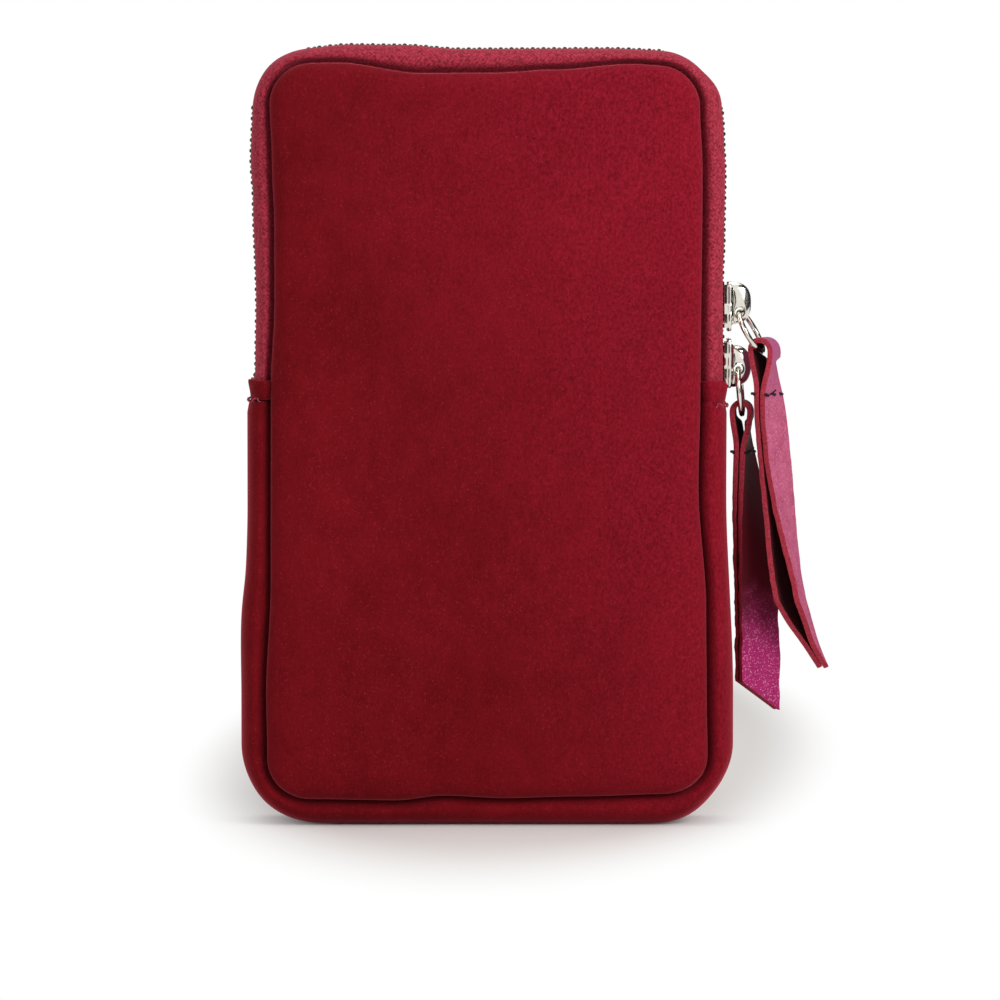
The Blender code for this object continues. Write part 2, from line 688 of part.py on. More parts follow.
def pull(name, strip, foot, collection):
    """A strip of leather folded over the ring's lower side and stitched below it."""
    half = PULL_THICKNESS / 2
    eye = (strip.eye_width + PULL_THICKNESS) / 2
    fold = foot + np.array([0.0, 0.0, RING_WIRE / 2 + FOLD_ROOM + half])
    fold_drops = eye * (1 - np.cos(np.radians(np.linspace(0, 90, 6)[1:])))
    stitch_drops = np.linspace(eye, STITCH_DROP, 7)[1:]
    tail_drops = np.linspace(STITCH_DROP, strip.length, 17)[1:]
    drops = np.concatenate([fold_drops, stitch_drops, tail_drops])
    stations = [(-1, d) for d in reversed(drops)] + [(0, 0.0)] + [(1, d) for d in drops]
    middles = np.zeros((len(stations), 2, 3))
    for row, (layer, drop) in enumerate(stations):
        for column, edge in enumerate((-1, 1)):
            short = strip.cut * (1 - edge) / 2
            past = max(drop - STITCH_DROP, 0.0) / (strip.length - STITCH_DROP)
            middles[row, column] = strip_section(strip, fold, drop - short * past, layer, edge)
    along = np.gradient(middles, axis=0)
    width = middles[:, 1] - middles[:, 0]
    normal = np.cross(along.mean(axis=1), width)
    normal /= np.linalg.norm(normal, axis=1)[:, None]
    rings = np.stack([
        middles[:, 0] + normal * half,
        middles[:, 0] - normal * half,
        middles[:, 1] - normal * half,
        middles[:, 1] + normal * half,
    ], axis=1)
    item = loft(name, rings, PULL_LEATHER, collection)
    item.data.shade_smooth()
    return item


def hang(item, empty):
    """Parent a finished piece to the empty on its joint's axis and keep it in place."""
    item.parent = empty
    item.matrix_parent_inverse = empty.matrix_world.inverted()


def make_panels(collections):
    """Front and back: suede, padding and lining, with the front cut at the mouth's fold."""
    layers = (
        ("panel", 0, 0.0, PANEL_THICKNESS, SUEDE),
        ("padding", RIM_RINGS, PANEL_THICKNESS + CLEARANCE, PADDING_THICKNESS, FOAM),
        ("lining", RIM_RINGS, PANEL_THICKNESS + PADDING_THICKNESS + 2 * CLEARANCE, LINING_THICKNESS,
         LINING_CLOTH),
    )
    for layer, first_ring, sunk, thickness, look in layers:
        layer_sizes = (first_ring, sunk, thickness, look, collections)
        pillow(f"back_{layer}", 1, *layer_sizes)
        halves(f"front_{layer}", lambda name: pillow(name, -1, *layer_sizes), collections)


def make_gusset(parts):
    """The suede band under the pouch and up its sides, its lining, and the zip's end tabs."""
    foot = GUSSET.low + GUSSET.corner
    sides = np.linspace(GUSSET_TOP, foot, 7)[:-1]
    pairs = side_route(GUSSET, sides, GUSSET_DRAW_IN) + end_route(GUSSET, False, 6, 3)
    pairs = both_sides(pairs)
    outs = BAND_OUT_SHARES + BAND_OUT_SHARES[::-1]
    acrosses = BAND_ACROSS_SHARES + tuple(-a for a in BAND_ACROSS_SHARES[::-1])
    sheet("lower_gusset", band_grid(pairs, outs, acrosses, SEAM_HALF), GUSSET_THICKNESS, SUEDE, parts)
    lining = band_grid(pairs, outs, acrosses, SEAM_HALF * GUSSET_LINING_SEAM_SHARE, GUSSET_LINING_INSET)
    sheet("gusset_lining", lining, LINING_THICKNESS, LINING_CLOTH, parts)
    tab_low = GUSSET_TOP + GUSSET_SEAM_GAP
    heights = np.linspace(tab_low, tab_low + TAB_HEIGHT, 3)
    half_width = TAPE_HALF_WIDTH + TAPE_THICKNESS + CLEARANCE + TAB_THICKNESS
    right = side_route(Shell(half_width, 0.0, TAPE_TOP, TAPE_CORNER), heights)
    for side, route in (("right", right), ("left", mirror_route(right))):
        grid = band_grid(route, outs, acrosses, SEAM_HALF)
        sheet(f"zip_end_tab_{side}", grid, TAB_THICKNESS, SUEDE, parts)


def make_zip(parts):
    """The two tapes and the two rows of teeth, with the front ones parted at the mouth's fold."""
    below, above = HINGE_HEIGHT - CLEARANCE / 2, HINGE_HEIGHT + CLEARANCE / 2
    lower = np.linspace(ZIP_END, below, 12)
    upper = np.linspace(above, SIDE_TOP, 5)[:-1]
    over = end_route(TAPE, True, 6, 3)
    back = both_sides(side_route(TAPE, np.concatenate([lower, upper])) + over)
    sheet("back_zip_tape", tape_grid(back, 1, True), TAPE_THICKNESS, TAPE_CLOTH, parts)
    front = both_sides(side_route(TAPE, upper) + over)
    sheet("front_zip_tape", tape_grid(front, -1, True), TAPE_THICKNESS, TAPE_CLOTH, parts)
    end_right = side_route(TAPE, lower)
    sheet("front_tape_end_right", tape_grid(end_right, -1, True), TAPE_THICKNESS, TAPE_CLOTH, parts)
    end_left = mirror_route(side_route(TAPE, (ZIP_END, below)))
    sheet("front_tape_end_left", tape_grid(end_left, -1, False), TAPE_THICKNESS, TAPE_CLOTH, parts)
    fold_low, fold_high = below - ZIP_END, above - ZIP_END
    chain("back_zip_teeth", 1, 0.5, 0.0, CHAIN_LENGTH, parts)
    chain("front_zip_teeth", -1, 1.0, fold_high, CHAIN_LENGTH - fold_high, parts)
    chain("front_teeth_end_right", -1, 1.0, 0.0, fold_low, parts)
    chain("front_teeth_end_left", -1, 1.0, CHAIN_LENGTH - fold_low, CHAIN_LENGTH, parts)


def make_sliders(collections):
    """Both sliders, and on each a ring and a leather pull, parented down the chain of joints."""
    parts = collections[0]
    mesh = slider_mesh(collections)
    upper = Strip(
        length=UPPER_PULL_LENGTH,
        cut=UPPER_PULL_CUT,
        lean=UPPER_PULL_LEAN,
        sweep=UPPER_PULL_SWEEP,
        swing=UPPER_PULL_SWING,
        spread=UPPER_PULL_SPREAD,
        first_turn=90.0 - UPPER_RING_TURN,
        last_turn=UPPER_PULL_TURN,
        eye_width=UPPER_EYE_WIDTH,
        eye_shift=UPPER_EYE_SHIFT,
        aside=-PULL_OFF_CENTRE,
    )
    lower = Strip(
        length=LOWER_PULL_LENGTH,
        cut=LOWER_PULL_CUT,
        lean=LOWER_PULL_LEAN,
        sweep=LOWER_PULL_SWEEP,
        swing=LOWER_PULL_SWING,
        spread=LOWER_PULL_SPREAD,
        first_turn=90.0 - LOWER_RING_TURN,
        last_turn=LOWER_PULL_TURN,
        eye_width=LOWER_EYE_WIDTH,
        eye_shift=LOWER_EYE_SHIFT,
        aside=PULL_OFF_CENTRE,
    )
    plans = (
        ("upper", UPPER_SLIDER_CENTRE, 1, UPPER_RING_LEAN, UPPER_RING_TURN, upper),
        ("lower", LOWER_SLIDER_CENTRE, -1, LOWER_RING_LEAN, LOWER_RING_TURN, lower),
    )
    for part, height, way, lean, turn, strip in plans:
        casting = slider(f"{part}_slider", mesh, height, way < 0, parts)
        top = ring_top(height, way, turn)
        foot = ring_foot(top, lean)
        print(part, "ring pivot", top.round(5), "pull pivot", foot.round(5))
        pivot = add_empty(f"{part}_ring_pivot", top, parts)
        eye = add_empty(f"{part}_pull_pivot", foot, parts)
        wire = ring(f"{part}_ring", top, lean, turn, parts)
        leather = pull(f"{part}_pull", strip, foot, parts)
        bpy.context.view_layer.update()
        hang(pivot, casting)
        bpy.context.view_layer.update()
        hang(wire, pivot)
        hang(eye, pivot)
        bpy.context.view_layer.update()
        hang(leather, eye)


def main():
    """Build the pouch."""
    collections = clear_scene()
    make_panels(collections)
    make_gusset(collections[0])
    make_zip(collections[0])
    make_sliders(collections)
    print("slider centres", round(LOWER_SLIDER_CENTRE, 5), round(UPPER_SLIDER_CENTRE, 5),
          "hinge", HINGE_AXIS_Y, HINGE_HEIGHT)


main()
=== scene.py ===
"""Looks of the crossbody pouch: suede, woven zip tape, nickel sliders and folded leather pulls.

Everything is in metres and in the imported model's frame: the pouch stands on z = 0, its front faces
-Y, the chain of its zip runs in the plane y = 0 and its sliders are on the +X side.
"""

import logging
import math
from dataclasses import dataclass, field
from enum import Enum

import bmesh
import bpy
import numpy as np
from mathutils import Euler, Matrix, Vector


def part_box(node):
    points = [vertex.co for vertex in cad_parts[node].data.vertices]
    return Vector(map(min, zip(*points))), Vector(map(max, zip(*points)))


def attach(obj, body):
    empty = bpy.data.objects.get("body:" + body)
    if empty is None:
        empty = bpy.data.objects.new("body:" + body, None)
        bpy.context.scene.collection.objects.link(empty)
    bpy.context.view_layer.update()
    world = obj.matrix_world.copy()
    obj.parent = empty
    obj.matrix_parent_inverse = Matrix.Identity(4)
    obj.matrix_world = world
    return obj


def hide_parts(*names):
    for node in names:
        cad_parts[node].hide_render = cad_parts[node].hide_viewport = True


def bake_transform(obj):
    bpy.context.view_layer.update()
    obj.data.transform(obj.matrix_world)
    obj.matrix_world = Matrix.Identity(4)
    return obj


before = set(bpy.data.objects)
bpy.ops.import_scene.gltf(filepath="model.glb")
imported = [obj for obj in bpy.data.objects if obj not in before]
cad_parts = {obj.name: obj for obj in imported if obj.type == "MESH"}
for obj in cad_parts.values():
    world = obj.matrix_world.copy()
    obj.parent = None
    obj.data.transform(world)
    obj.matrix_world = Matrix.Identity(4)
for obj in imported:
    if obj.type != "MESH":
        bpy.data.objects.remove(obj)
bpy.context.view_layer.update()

LOG = logging.getLogger("pouch")
MM = 0.001
UV_NAME = "surface_metres"
FLIP_LAST = np.array([1.0, -1.0])
FLIP_FIRST = np.array([-1.0, 1.0])
WHITE = (1.0, 1.0, 1.0, 1.0)

Material = bpy.types.Material
Piece = bpy.types.Object
Socket = bpy.types.NodeSocket


class Side(Enum):
    """The pouch's front and back, by the sign of y."""

    FRONT = -1
    BACK = 1


def smoothstep(low: float, high: float, value: np.ndarray) -> np.ndarray:
    """Rise from 0 at low to 1 at high, level at both ends, by 3 s^2 - 2 s^3."""
    share = np.clip((value - low) / (high - low), 0.0, 1.0)
    return share * share * (3.0 - 2.0 * share)


def unit(vectors: np.ndarray) -> np.ndarray:
    """Scale each vector on the last axis to a length of one."""
    return vectors / np.maximum(np.linalg.norm(vectors, axis=-1, keepdims=True), 1e-12)


def signed_power(value: np.ndarray, power: float) -> np.ndarray:
    """Raise the size of each number to a power and keep its sign."""
    return np.sign(value) * np.abs(value) ** power


def full_turn(count: int) -> np.ndarray:
    """Angles spread evenly over a whole turn."""
    return np.linspace(0, 2 * math.pi, count, endpoint=False)


def join(*parts: np.ndarray | float) -> np.ndarray:
    """Coordinates as points on the last axis, each spread to the shape of the others."""
    return np.stack(np.broadcast_arrays(*parts), axis=-1)


def spline(knots: np.ndarray, count: int) -> np.ndarray:
    """Find points on a smooth curve through knots.

    Between knots b and c, with a before and d after, the curve is half of
    2b + (c - a)t + (2a - 5b + 4c - d)t^2 + (3b - a - 3c + d)t^3.

    Args:
        knots: The points that the curve passes through, one a row.
        count: How many points to find, evenly spread over the knots' numbers.

    Returns:
        The points, one a row.
    """
    knots = np.asarray(knots, float)
    whole = np.concatenate([2 * knots[:1] - knots[1:2], knots, 2 * knots[-1:] - knots[-2:-1]])
    place = np.linspace(0.0, len(knots) - 1.0, count)
    first = np.minimum(place.astype(int), len(knots) - 2)
    t = (place - first)[:, None]
    a, b, c, d = (whole[first + step] for step in range(4))
    return 0.5 * (
        2 * b + (c - a) * t + (2 * a - 5 * b + 4 * c - d) * t**2 + (3 * b - a - 3 * c + d) * t**3
    )


def grid_faces(rows: int, columns: int, wrap: bool = False, wrap_rows: bool = False) -> np.ndarray:
    """Quads over a grid of points.

    Args:
        rows: How many rows of points there are.
        columns: How many points a row has.
        wrap: Whether the last column joins the first.
        wrap_rows: Whether the last row joins the first.

    Returns:
        Four point numbers for each face, one face a row.
    """
    r = np.arange(rows if wrap_rows else rows - 1)[:, None]
    c = np.arange(columns if wrap else columns - 1)[None, :]
    below, beside = (r + 1) % rows, (c + 1) % columns
    corners = (r * columns + c, r * columns + beside, below * columns + beside, below * columns + c)
    return join(*corners).reshape(-1, 4)


def surface_metres(grid: np.ndarray) -> np.ndarray:
    """Distances over a grid's surface, for a weave or a grain to follow.

    Args:
        grid: Points in rows and columns.

    Returns:
        For each point its mean distance along the rows' direction, and along the columns'.
    """
    u, v = (
        np.concatenate([[0.0], np.cumsum(
            np.linalg.norm(np.diff(grid, axis=way), axis=-1).mean(axis=1 - way))])
        for way in (0, 1))
    return join(u[:, None], v[None, :]).reshape(-1, 2)


def grid_normals(grid: np.ndarray) -> np.ndarray:
    """Unit normals of a grid, by the cross product of its two directions."""
    return unit(np.cross(np.gradient(grid, axis=0), np.gradient(grid, axis=1)))


@dataclass
class Patch:
    """A part of a mesh.

    Attributes:
        points: One point a row.
        blocks: Pairs of faces and the number of their finish.
        uv: Each point's place on the surface, in metres.
    """

    points: np.ndarray
    blocks: list
    uv: np.ndarray

    @classmethod
    def shell(cls, grid: np.ndarray, thickness: float, inside: np.ndarray) -> "Patch":
        """Give an open grid a thickness, inward along its normals, and close its rim.

        Args:
            grid: The outer surface, in rows and columns.
            thickness: How far in the inner surface lies.
            inside: A point on the inner side.

        Returns:
            The closed patch.
        """
        rows, columns = grid.shape[:2]
        normal = grid_normals(grid)
        if np.sum(normal * (grid - inside)) < 0:
            normal = -normal
        points = np.concatenate([grid.reshape(-1, 3), (grid - normal * thickness).reshape(-1, 3)])
        count = rows * columns
        faces = grid_faces(rows, columns)
        number = np.arange(count).reshape(rows, columns)
        rim = np.concatenate([number[0], number[1:, -1], number[-1, -2::-1], number[-2:0:-1, 0]])
        after = np.roll(rim, -1)
        border = join(rim, after, after + count, rim + count)
        uv = surface_metres(grid)
        return cls(points, [(faces, 0), (faces + count, 0), (border, 0)], np.concatenate([uv, uv]))

    @classmethod
    def loft(cls, rings: np.ndarray, looped: bool = False, finish: int = 0) -> "Patch":
        """Join closed rings of equally many points, each to the next.

        Args:
            rings: Rings of points, one ring a row.
            looped: Whether the last ring joins the first. Else a face closes each end.
            finish: The number of its finish.

        Returns:
            The closed patch.
        """
        rows, columns = rings.shape[:2]
        blocks = [(grid_faces(rows, columns, wrap=True, wrap_rows=looped), finish)]
        if not looped:
            first = np.arange(columns)[None, ::-1]
            blocks += [(first, finish), (first[:, ::-1] + (rows - 1) * columns, finish)]
        return cls(rings.reshape(-1, 3), blocks, surface_metres(rings))

    @classmethod
    def thread(cls, knots: list, radius: float, count: int, sides: int, finish: int) -> "Patch":
        """A round thread on a smooth curve through knots, thinner at its ends.

        Its section is a circle square to the curve's tangent.

        Args:
            knots: Points that the thread passes through.
            radius: The thread's radius.
            count: How many rings it has.
            sides: How many points a ring has.
            finish: The number of its finish.

        Returns:
            The closed patch.
        """
        line = spline(np.array(knots), count)
        along = unit(np.gradient(line, axis=0))
        aside = unit(np.cross(along, np.array([0.31, 0.2, 0.93])))
        above = np.cross(along, aside)
        turn = full_turn(sides)[None, :, None]
        taper = np.ones((count, 1, 1))
        taper[[0, -1]] = 0.55
        section = np.cos(turn) * aside[:, None] + np.sin(turn) * above[:, None]
        return cls.loft(line[:, None] + radius * taper * section, finish=finish)


def link(name: str, data: bpy.types.ID) -> Piece:
    """Put data into the scene as an object at the origin.

    Args:
        name: The object's name.
        data: Its mesh, camera or lamp.

    Returns:
        The object.
    """
    made = bpy.data.objects.new(name, data)
    bpy.context.scene.collection.objects.link(made)
    return made


def make_piece(name: str, patches: list, finishes: list, sharp: float = 180.0) -> Piece:
    """Make one object from patches, with its faces pointing outwards.

    Args:
        name: The piece's name.
        patches: The patches that it is made of.
        finishes: Its materials, in the order of the patches' finish numbers.
        sharp: The angle in degrees past which an edge isn't shaded smooth.

    Returns:
        The object, which sits at the origin.
    """
    points = np.concatenate([patch.points for patch in patches])
    uv = np.concatenate([patch.uv for patch in patches])
    faces, numbers, start = [], [], 0
    for patch in patches:
        for block, number in patch.blocks:
            faces += (block + start).tolist()
            numbers += [number] * len(block)
        start += len(patch.points)
    mesh = bpy.data.meshes.new(name)
    mesh.from_pydata(points.tolist(), [], faces)
    mesh.polygons.foreach_set("material_index", np.array(numbers, np.int32))
    bm = bmesh.new()
    bm.from_mesh(mesh)
    bmesh.ops.recalc_face_normals(bm, faces=bm.faces[:])
    bm.to_mesh(mesh)
    bm.free()
    corner_points = np.zeros(len(mesh.loops), np.int32)
    mesh.loops.foreach_get("vertex_index", corner_points)
    layer = mesh.uv_layers.new(name=UV_NAME)
    layer.data.foreach_set("uv", uv[corner_points].astype(np.float32).ravel())
    mesh.polygons.foreach_set("use_smooth", np.ones(len(mesh.polygons), bool))
    if sharp < 180.0:
        mesh.set_sharp_from_angle(angle=math.radians(sharp))
    for finish in finishes:
        mesh.materials.append(finish)
    LOG.info("%s: %d faces", name, len(mesh.polygons))
    return link(name, mesh)


def linear(code: str) -> tuple:
    """Turn a colour's code into what the shaders take.

    Args:
        code: An sRGB hex colour, such as #7a161d.

    Returns:
        Linear red, green, blue and an alpha of one.
    """
    shares = [int(code[start : start + 2], 16) / 255 for start in (1, 3, 5)]
    curve = [s / 12.92 if s <= 0.04045 else ((s + 0.055) / 1.055) ** 2.4 for s in shares]
    return (*curve, 1.0)


def per_metre(size_mm: float) -> float:
    """The texture scale that gives a pattern its size in millimetres."""
    return 1.0 / (size_mm * MM)


@dataclass(frozen=True)
class Board:
    """A tree of shader nodes."""

    tree: bpy.types.NodeTree

    def fill(self, node: bpy.types.Node, settings: dict) -> None:
        """Give a node its settings.

        Args:
            node: The node.
            settings: Values or output sockets for its sockets, by name or number, and values for
                its own settings, by name.
        """
        own = {key for key in settings if isinstance(key, str) and key not in node.inputs}
        for key in own:
            setattr(node, key, settings[key])
        for key in settings.keys() - own:
            if isinstance(settings[key], Socket):
                self.tree.links.new(settings[key], node.inputs[key])
            else:
                node.inputs[key].default_value = settings[key]

    def add(self, kind: str, settings: dict | None = None, output: int | str = 0) -> Socket:
        """Add a node with its settings and links.

        Args:
            kind: The node's type, without ShaderNode.
            settings: Its settings, as fill takes them.
            output: The name or number of the socket to hand back.

        Returns:
            That output socket.
        """
        node = self.tree.nodes.new(f"ShaderNode{kind}")
        self.fill(node, settings or {})
        return node.outputs[output]


@dataclass(frozen=True)
class Finish:
    """A material, with its name and what its shader takes."""

    name: str

    def dress(self, board: Board) -> dict:
        """Each finish gives the shader its own settings here."""
        raise NotImplementedError

    def build(self) -> Material:
        """Make the material.

        Returns:
            The material.
        """
        made = bpy.data.materials.new(self.name)
        made.use_nodes = True
        board = Board(made.node_tree)
        board.fill(board.tree.nodes["Principled BSDF"], self.dress(board))
        return made


@dataclass(frozen=True)
class Suede(Finish):
    """Split goat leather, dyed through and buffed to a short nap.

    The nap scatters light at grazing angles, so rims look paler and pinker than the middle. Hands
    and cutting leave it brushed in cloudy patches, with fibres that lie combed downwards. A painted
    highlight makes it paler and pinker towards the top right, where the key lamp falls, and pale
    specks are painted as glints on single standing fibres.
    """

    deep: str = "#5c070d"
    lit: str = "#780f18"
    # Painted highlight colour, mixed in towards the top right, where the key lamp lights the panel.
    painted_highlight: str = "#a81c38"
    # Painted glint colour: pale specks where single fibres catch the light.
    painted_fibre_glint: str = "#b23048"
    cloud_mm: float = 24.0
    brush_mm: float = 3.2
    grain_mm: float = 0.6
    fibre_mm: float = 0.42
    painted_fibre_glint_mm: float = 0.48
    brushed_stretch: float = 0.7
    combed_stretch: float = 0.16
    shares: tuple = (1.0, 0.8, 0.45, 1.2)
    tone_start: float = -1.25
    # Where the painted highlight grows: its direction, the place where it is whole, its share and the
    # grain's contrast in it.
    painted_highlight_towards: tuple = (1.0, 0.0, 0.35)
    painted_highlight_at: float = 0.105
    painted_highlight_share: float = 0.34
    painted_highlight_contrast: tuple = (4.2, -1.2)
    painted_fibre_glint_levels: tuple = (0.60, 0.72, 0.28)
    bump_mm: float = 0.08

    def dress(self, board: Board) -> dict:
        """Mix the tones of the nap from the clouds to the grain, then a painted highlight towards the
        top right and painted glints on single fibres.

        Args:
            board: The material's nodes.

        Returns:
            The shader's settings.
        """
        place = board.add("TexCoord", {}, "Object")
        brushed, combed = (
            board.add("Mapping", {"Scale": (1.0, 1.0, stretch), "Vector": place})
            for stretch in (self.brushed_stretch, self.combed_stretch))
        cloud, brush, lying, grain, standing = (
            board.add("TexNoise", {
                "Scale": per_metre(size), "Detail": detail, "Roughness": rough, "Vector": where})
            for size, detail, rough, where in (
                (self.cloud_mm, 3.0, 0.5, place), (self.brush_mm, 3.0, 0.5, brushed),
                (self.fibre_mm, 2.0, 0.5, combed), (self.grain_mm, 3.0, 0.7, brushed),
                (self.painted_fibre_glint_mm, 2.0, 0.6, place)))
        tone = self.tone_start
        for pattern, share in zip((cloud, brush, lying, grain), self.shares):
            tone = board.add("Math", {"operation": "MULTIPLY_ADD", 0: pattern, 1: share, 2: tone})
        # Painted highlight: paler and pinker towards the top right, where the key lamp falls, and
        # uneven with the grain.
        across = board.add(
            "VectorMath", {"operation": "DOT_PRODUCT", 0: place, 1: self.painted_highlight_towards}, "Value")
        painted_light_ramp = board.add("MapRange", {
            "interpolation_type": "SMOOTHSTEP", "Value": across, "From Max": self.painted_highlight_at,
            "To Max": self.painted_highlight_share})
        contrast, start = self.painted_highlight_contrast
        uneven = board.add(
            "Math", {"operation": "MULTIPLY_ADD", 0: grain, 1: contrast, 2: start})
        painted_highlight_mix = board.add("Math", {"operation": "MULTIPLY", 0: painted_light_ramp, 1: uneven})
        # Painted glints: pale specks on single standing fibres.
        low, high, most = self.painted_fibre_glint_levels
        painted_fibre_glints = board.add(
            "MapRange", {"Value": standing, "From Min": low, "From Max": high, "To Max": most})
        colour = linear(self.deep)
        for share, shade in ((tone, self.lit), (painted_highlight_mix, self.painted_highlight), (painted_fibre_glints, self.painted_fibre_glint)):
            colour = board.add("Mix", {"data_type": "RGBA", 0: share, 6: colour, 7: linear(shade)}, 2)
        bump = board.add(
            "Bump", {"Strength": 0.6, "Distance": self.bump_mm * MM, "Height": grain})
        return {
            "Base Color": colour, "Normal": bump, "Roughness": 1.0, "Specular IOR Level": 0.08,
            "Sheen Weight": 0.75, "Sheen Roughness": 0.32, "Sheen Tint": linear("#ff7484")}


@dataclass(frozen=True)
class WovenTape(Finish):
    """Polyester zip tape, woven in a herringbone twill and a little fuzzy.

    The fuzz makes it look mottled and paler than the suede, and the slanted ridges of the twill
    show faintly through it. The twill is drawn coarser than the real 0.5 mm.
    """

    deep: str
    lit: str
    twill_mm: float = 0.95
    rib_mm: float = 2.2
    fuzz_mm: float = 0.6
    twill_share: float = 0.05
    bump_mm: float = 0.16

    def dress(self, board: Board) -> dict:
        """Lay the twill's ridges, whose slant turns back at each rib, under the fuzz.

        Args:
            board: The material's nodes.

        Returns:
            The shader's settings.
        """
        uv = board.add("UVMap", {"uv_map": UV_NAME})
        along, across = board.add("SeparateXYZ", {0: uv}).node.outputs[:2]
        slant = board.add("Math", {"operation": "PINGPONG", 0: across, 1: self.rib_mm * MM})
        slope = board.add("Math", {"operation": "ADD", 0: along, 1: slant})
        turns = 2 * math.pi * per_metre(self.twill_mm)
        phase = board.add("Math", {"operation": "MULTIPLY", 0: slope, 1: turns})
        wave = board.add("Math", {"operation": "SINE", 0: phase})
        place = board.add("TexCoord", {}, "Object")
        fuzz = board.add(
            "TexNoise", {"Scale": per_metre(self.fuzz_mm), "Detail": 3.0, "Vector": place})
        ridge = board.add(
            "Math", {"operation": "MULTIPLY_ADD", 0: wave, 1: self.twill_share, 2: fuzz})
        tone = board.add("MapRange", {"Value": ridge, "From Min": 0.30, "From Max": 0.70})
        colour = board.add(
            "Mix", {"data_type": "RGBA", 0: tone, 6: linear(self.deep), 7: linear(self.lit)}, 2)
        bump = board.add(
            "Bump", {"Strength": 0.5, "Distance": self.bump_mm * MM, "Height": ridge})
        return {
            "Base Color": colour, "Normal": bump, "Roughness": 0.82, "Specular IOR Level": 0.25,
            "Sheen Weight": 0.25, "Sheen Roughness": 0.35, "Sheen Tint": linear("#ff9aa8")}


@dataclass(frozen=True)
class PlainCloth(Finish):
    """Thin plain-woven lining, or the open face of padding, with the crossing of its yarns."""

    deep: str
    lit: str
    yarn_mm: float = 0.5
    bump_mm: float = 0.08

    def dress(self, board: Board) -> dict:
        """Cross the yarns in a check.

        Args:
            board: The material's nodes.

        Returns:
            The shader's settings.
        """
        uv = board.add("UVMap", {"uv_map": UV_NAME})
        weave = board.add("TexChecker", {
            "Scale": per_metre(self.yarn_mm), "Color1": linear(self.deep),
            "Color2": linear(self.lit), "Vector": uv}, "Color")
        bump = board.add("Bump", {
            "Strength": 0.5, "Distance": self.bump_mm * MM, "Height": weave.node.outputs["Fac"]})
        return {"Base Color": weave, "Normal": bump, "Roughness": 0.85}


@dataclass(frozen=True)
class CastMetal(Finish):
    """Zinc or brass, cast, tumbled and plated.

    Tumbling leaves broad soft ripples that bend the reflections, and handling leaves faint smears
    that dull them in places.
    """

    colour: str
    worn: str
    roughness: float
    smear: float
    smear_mm: float = 1.6
    ripple_mm: float = 2.5
    ripple_depth_mm: float = 0.03

    def dress(self, board: Board) -> dict:
        """Lay the smears and the ripples.

        Args:
            board: The material's nodes.

        Returns:
            The shader's settings.
        """
        place = board.add("TexCoord", {}, "Object")
        smears, ripple = (
            board.add("TexNoise", {"Scale": per_metre(size), "Detail": detail, "Vector": place})
            for size, detail in ((self.smear_mm, 4.0), (self.ripple_mm, 1.0)))
        colour = board.add("Mix", {
            "data_type": "RGBA", 0: smears, 6: linear(self.colour), 7: linear(self.worn)}, 2)
        rough = board.add("Math", {
            "operation": "MULTIPLY_ADD", 0: smears, 1: self.smear,
            2: self.roughness - self.smear / 2})
        bump = board.add(
            "Bump", {"Strength": 0.6, "Distance": self.ripple_depth_mm * MM, "Height": ripple})
        return {"Base Color": colour, "Roughness": rough, "Normal": bump, "Metallic": 1.0}


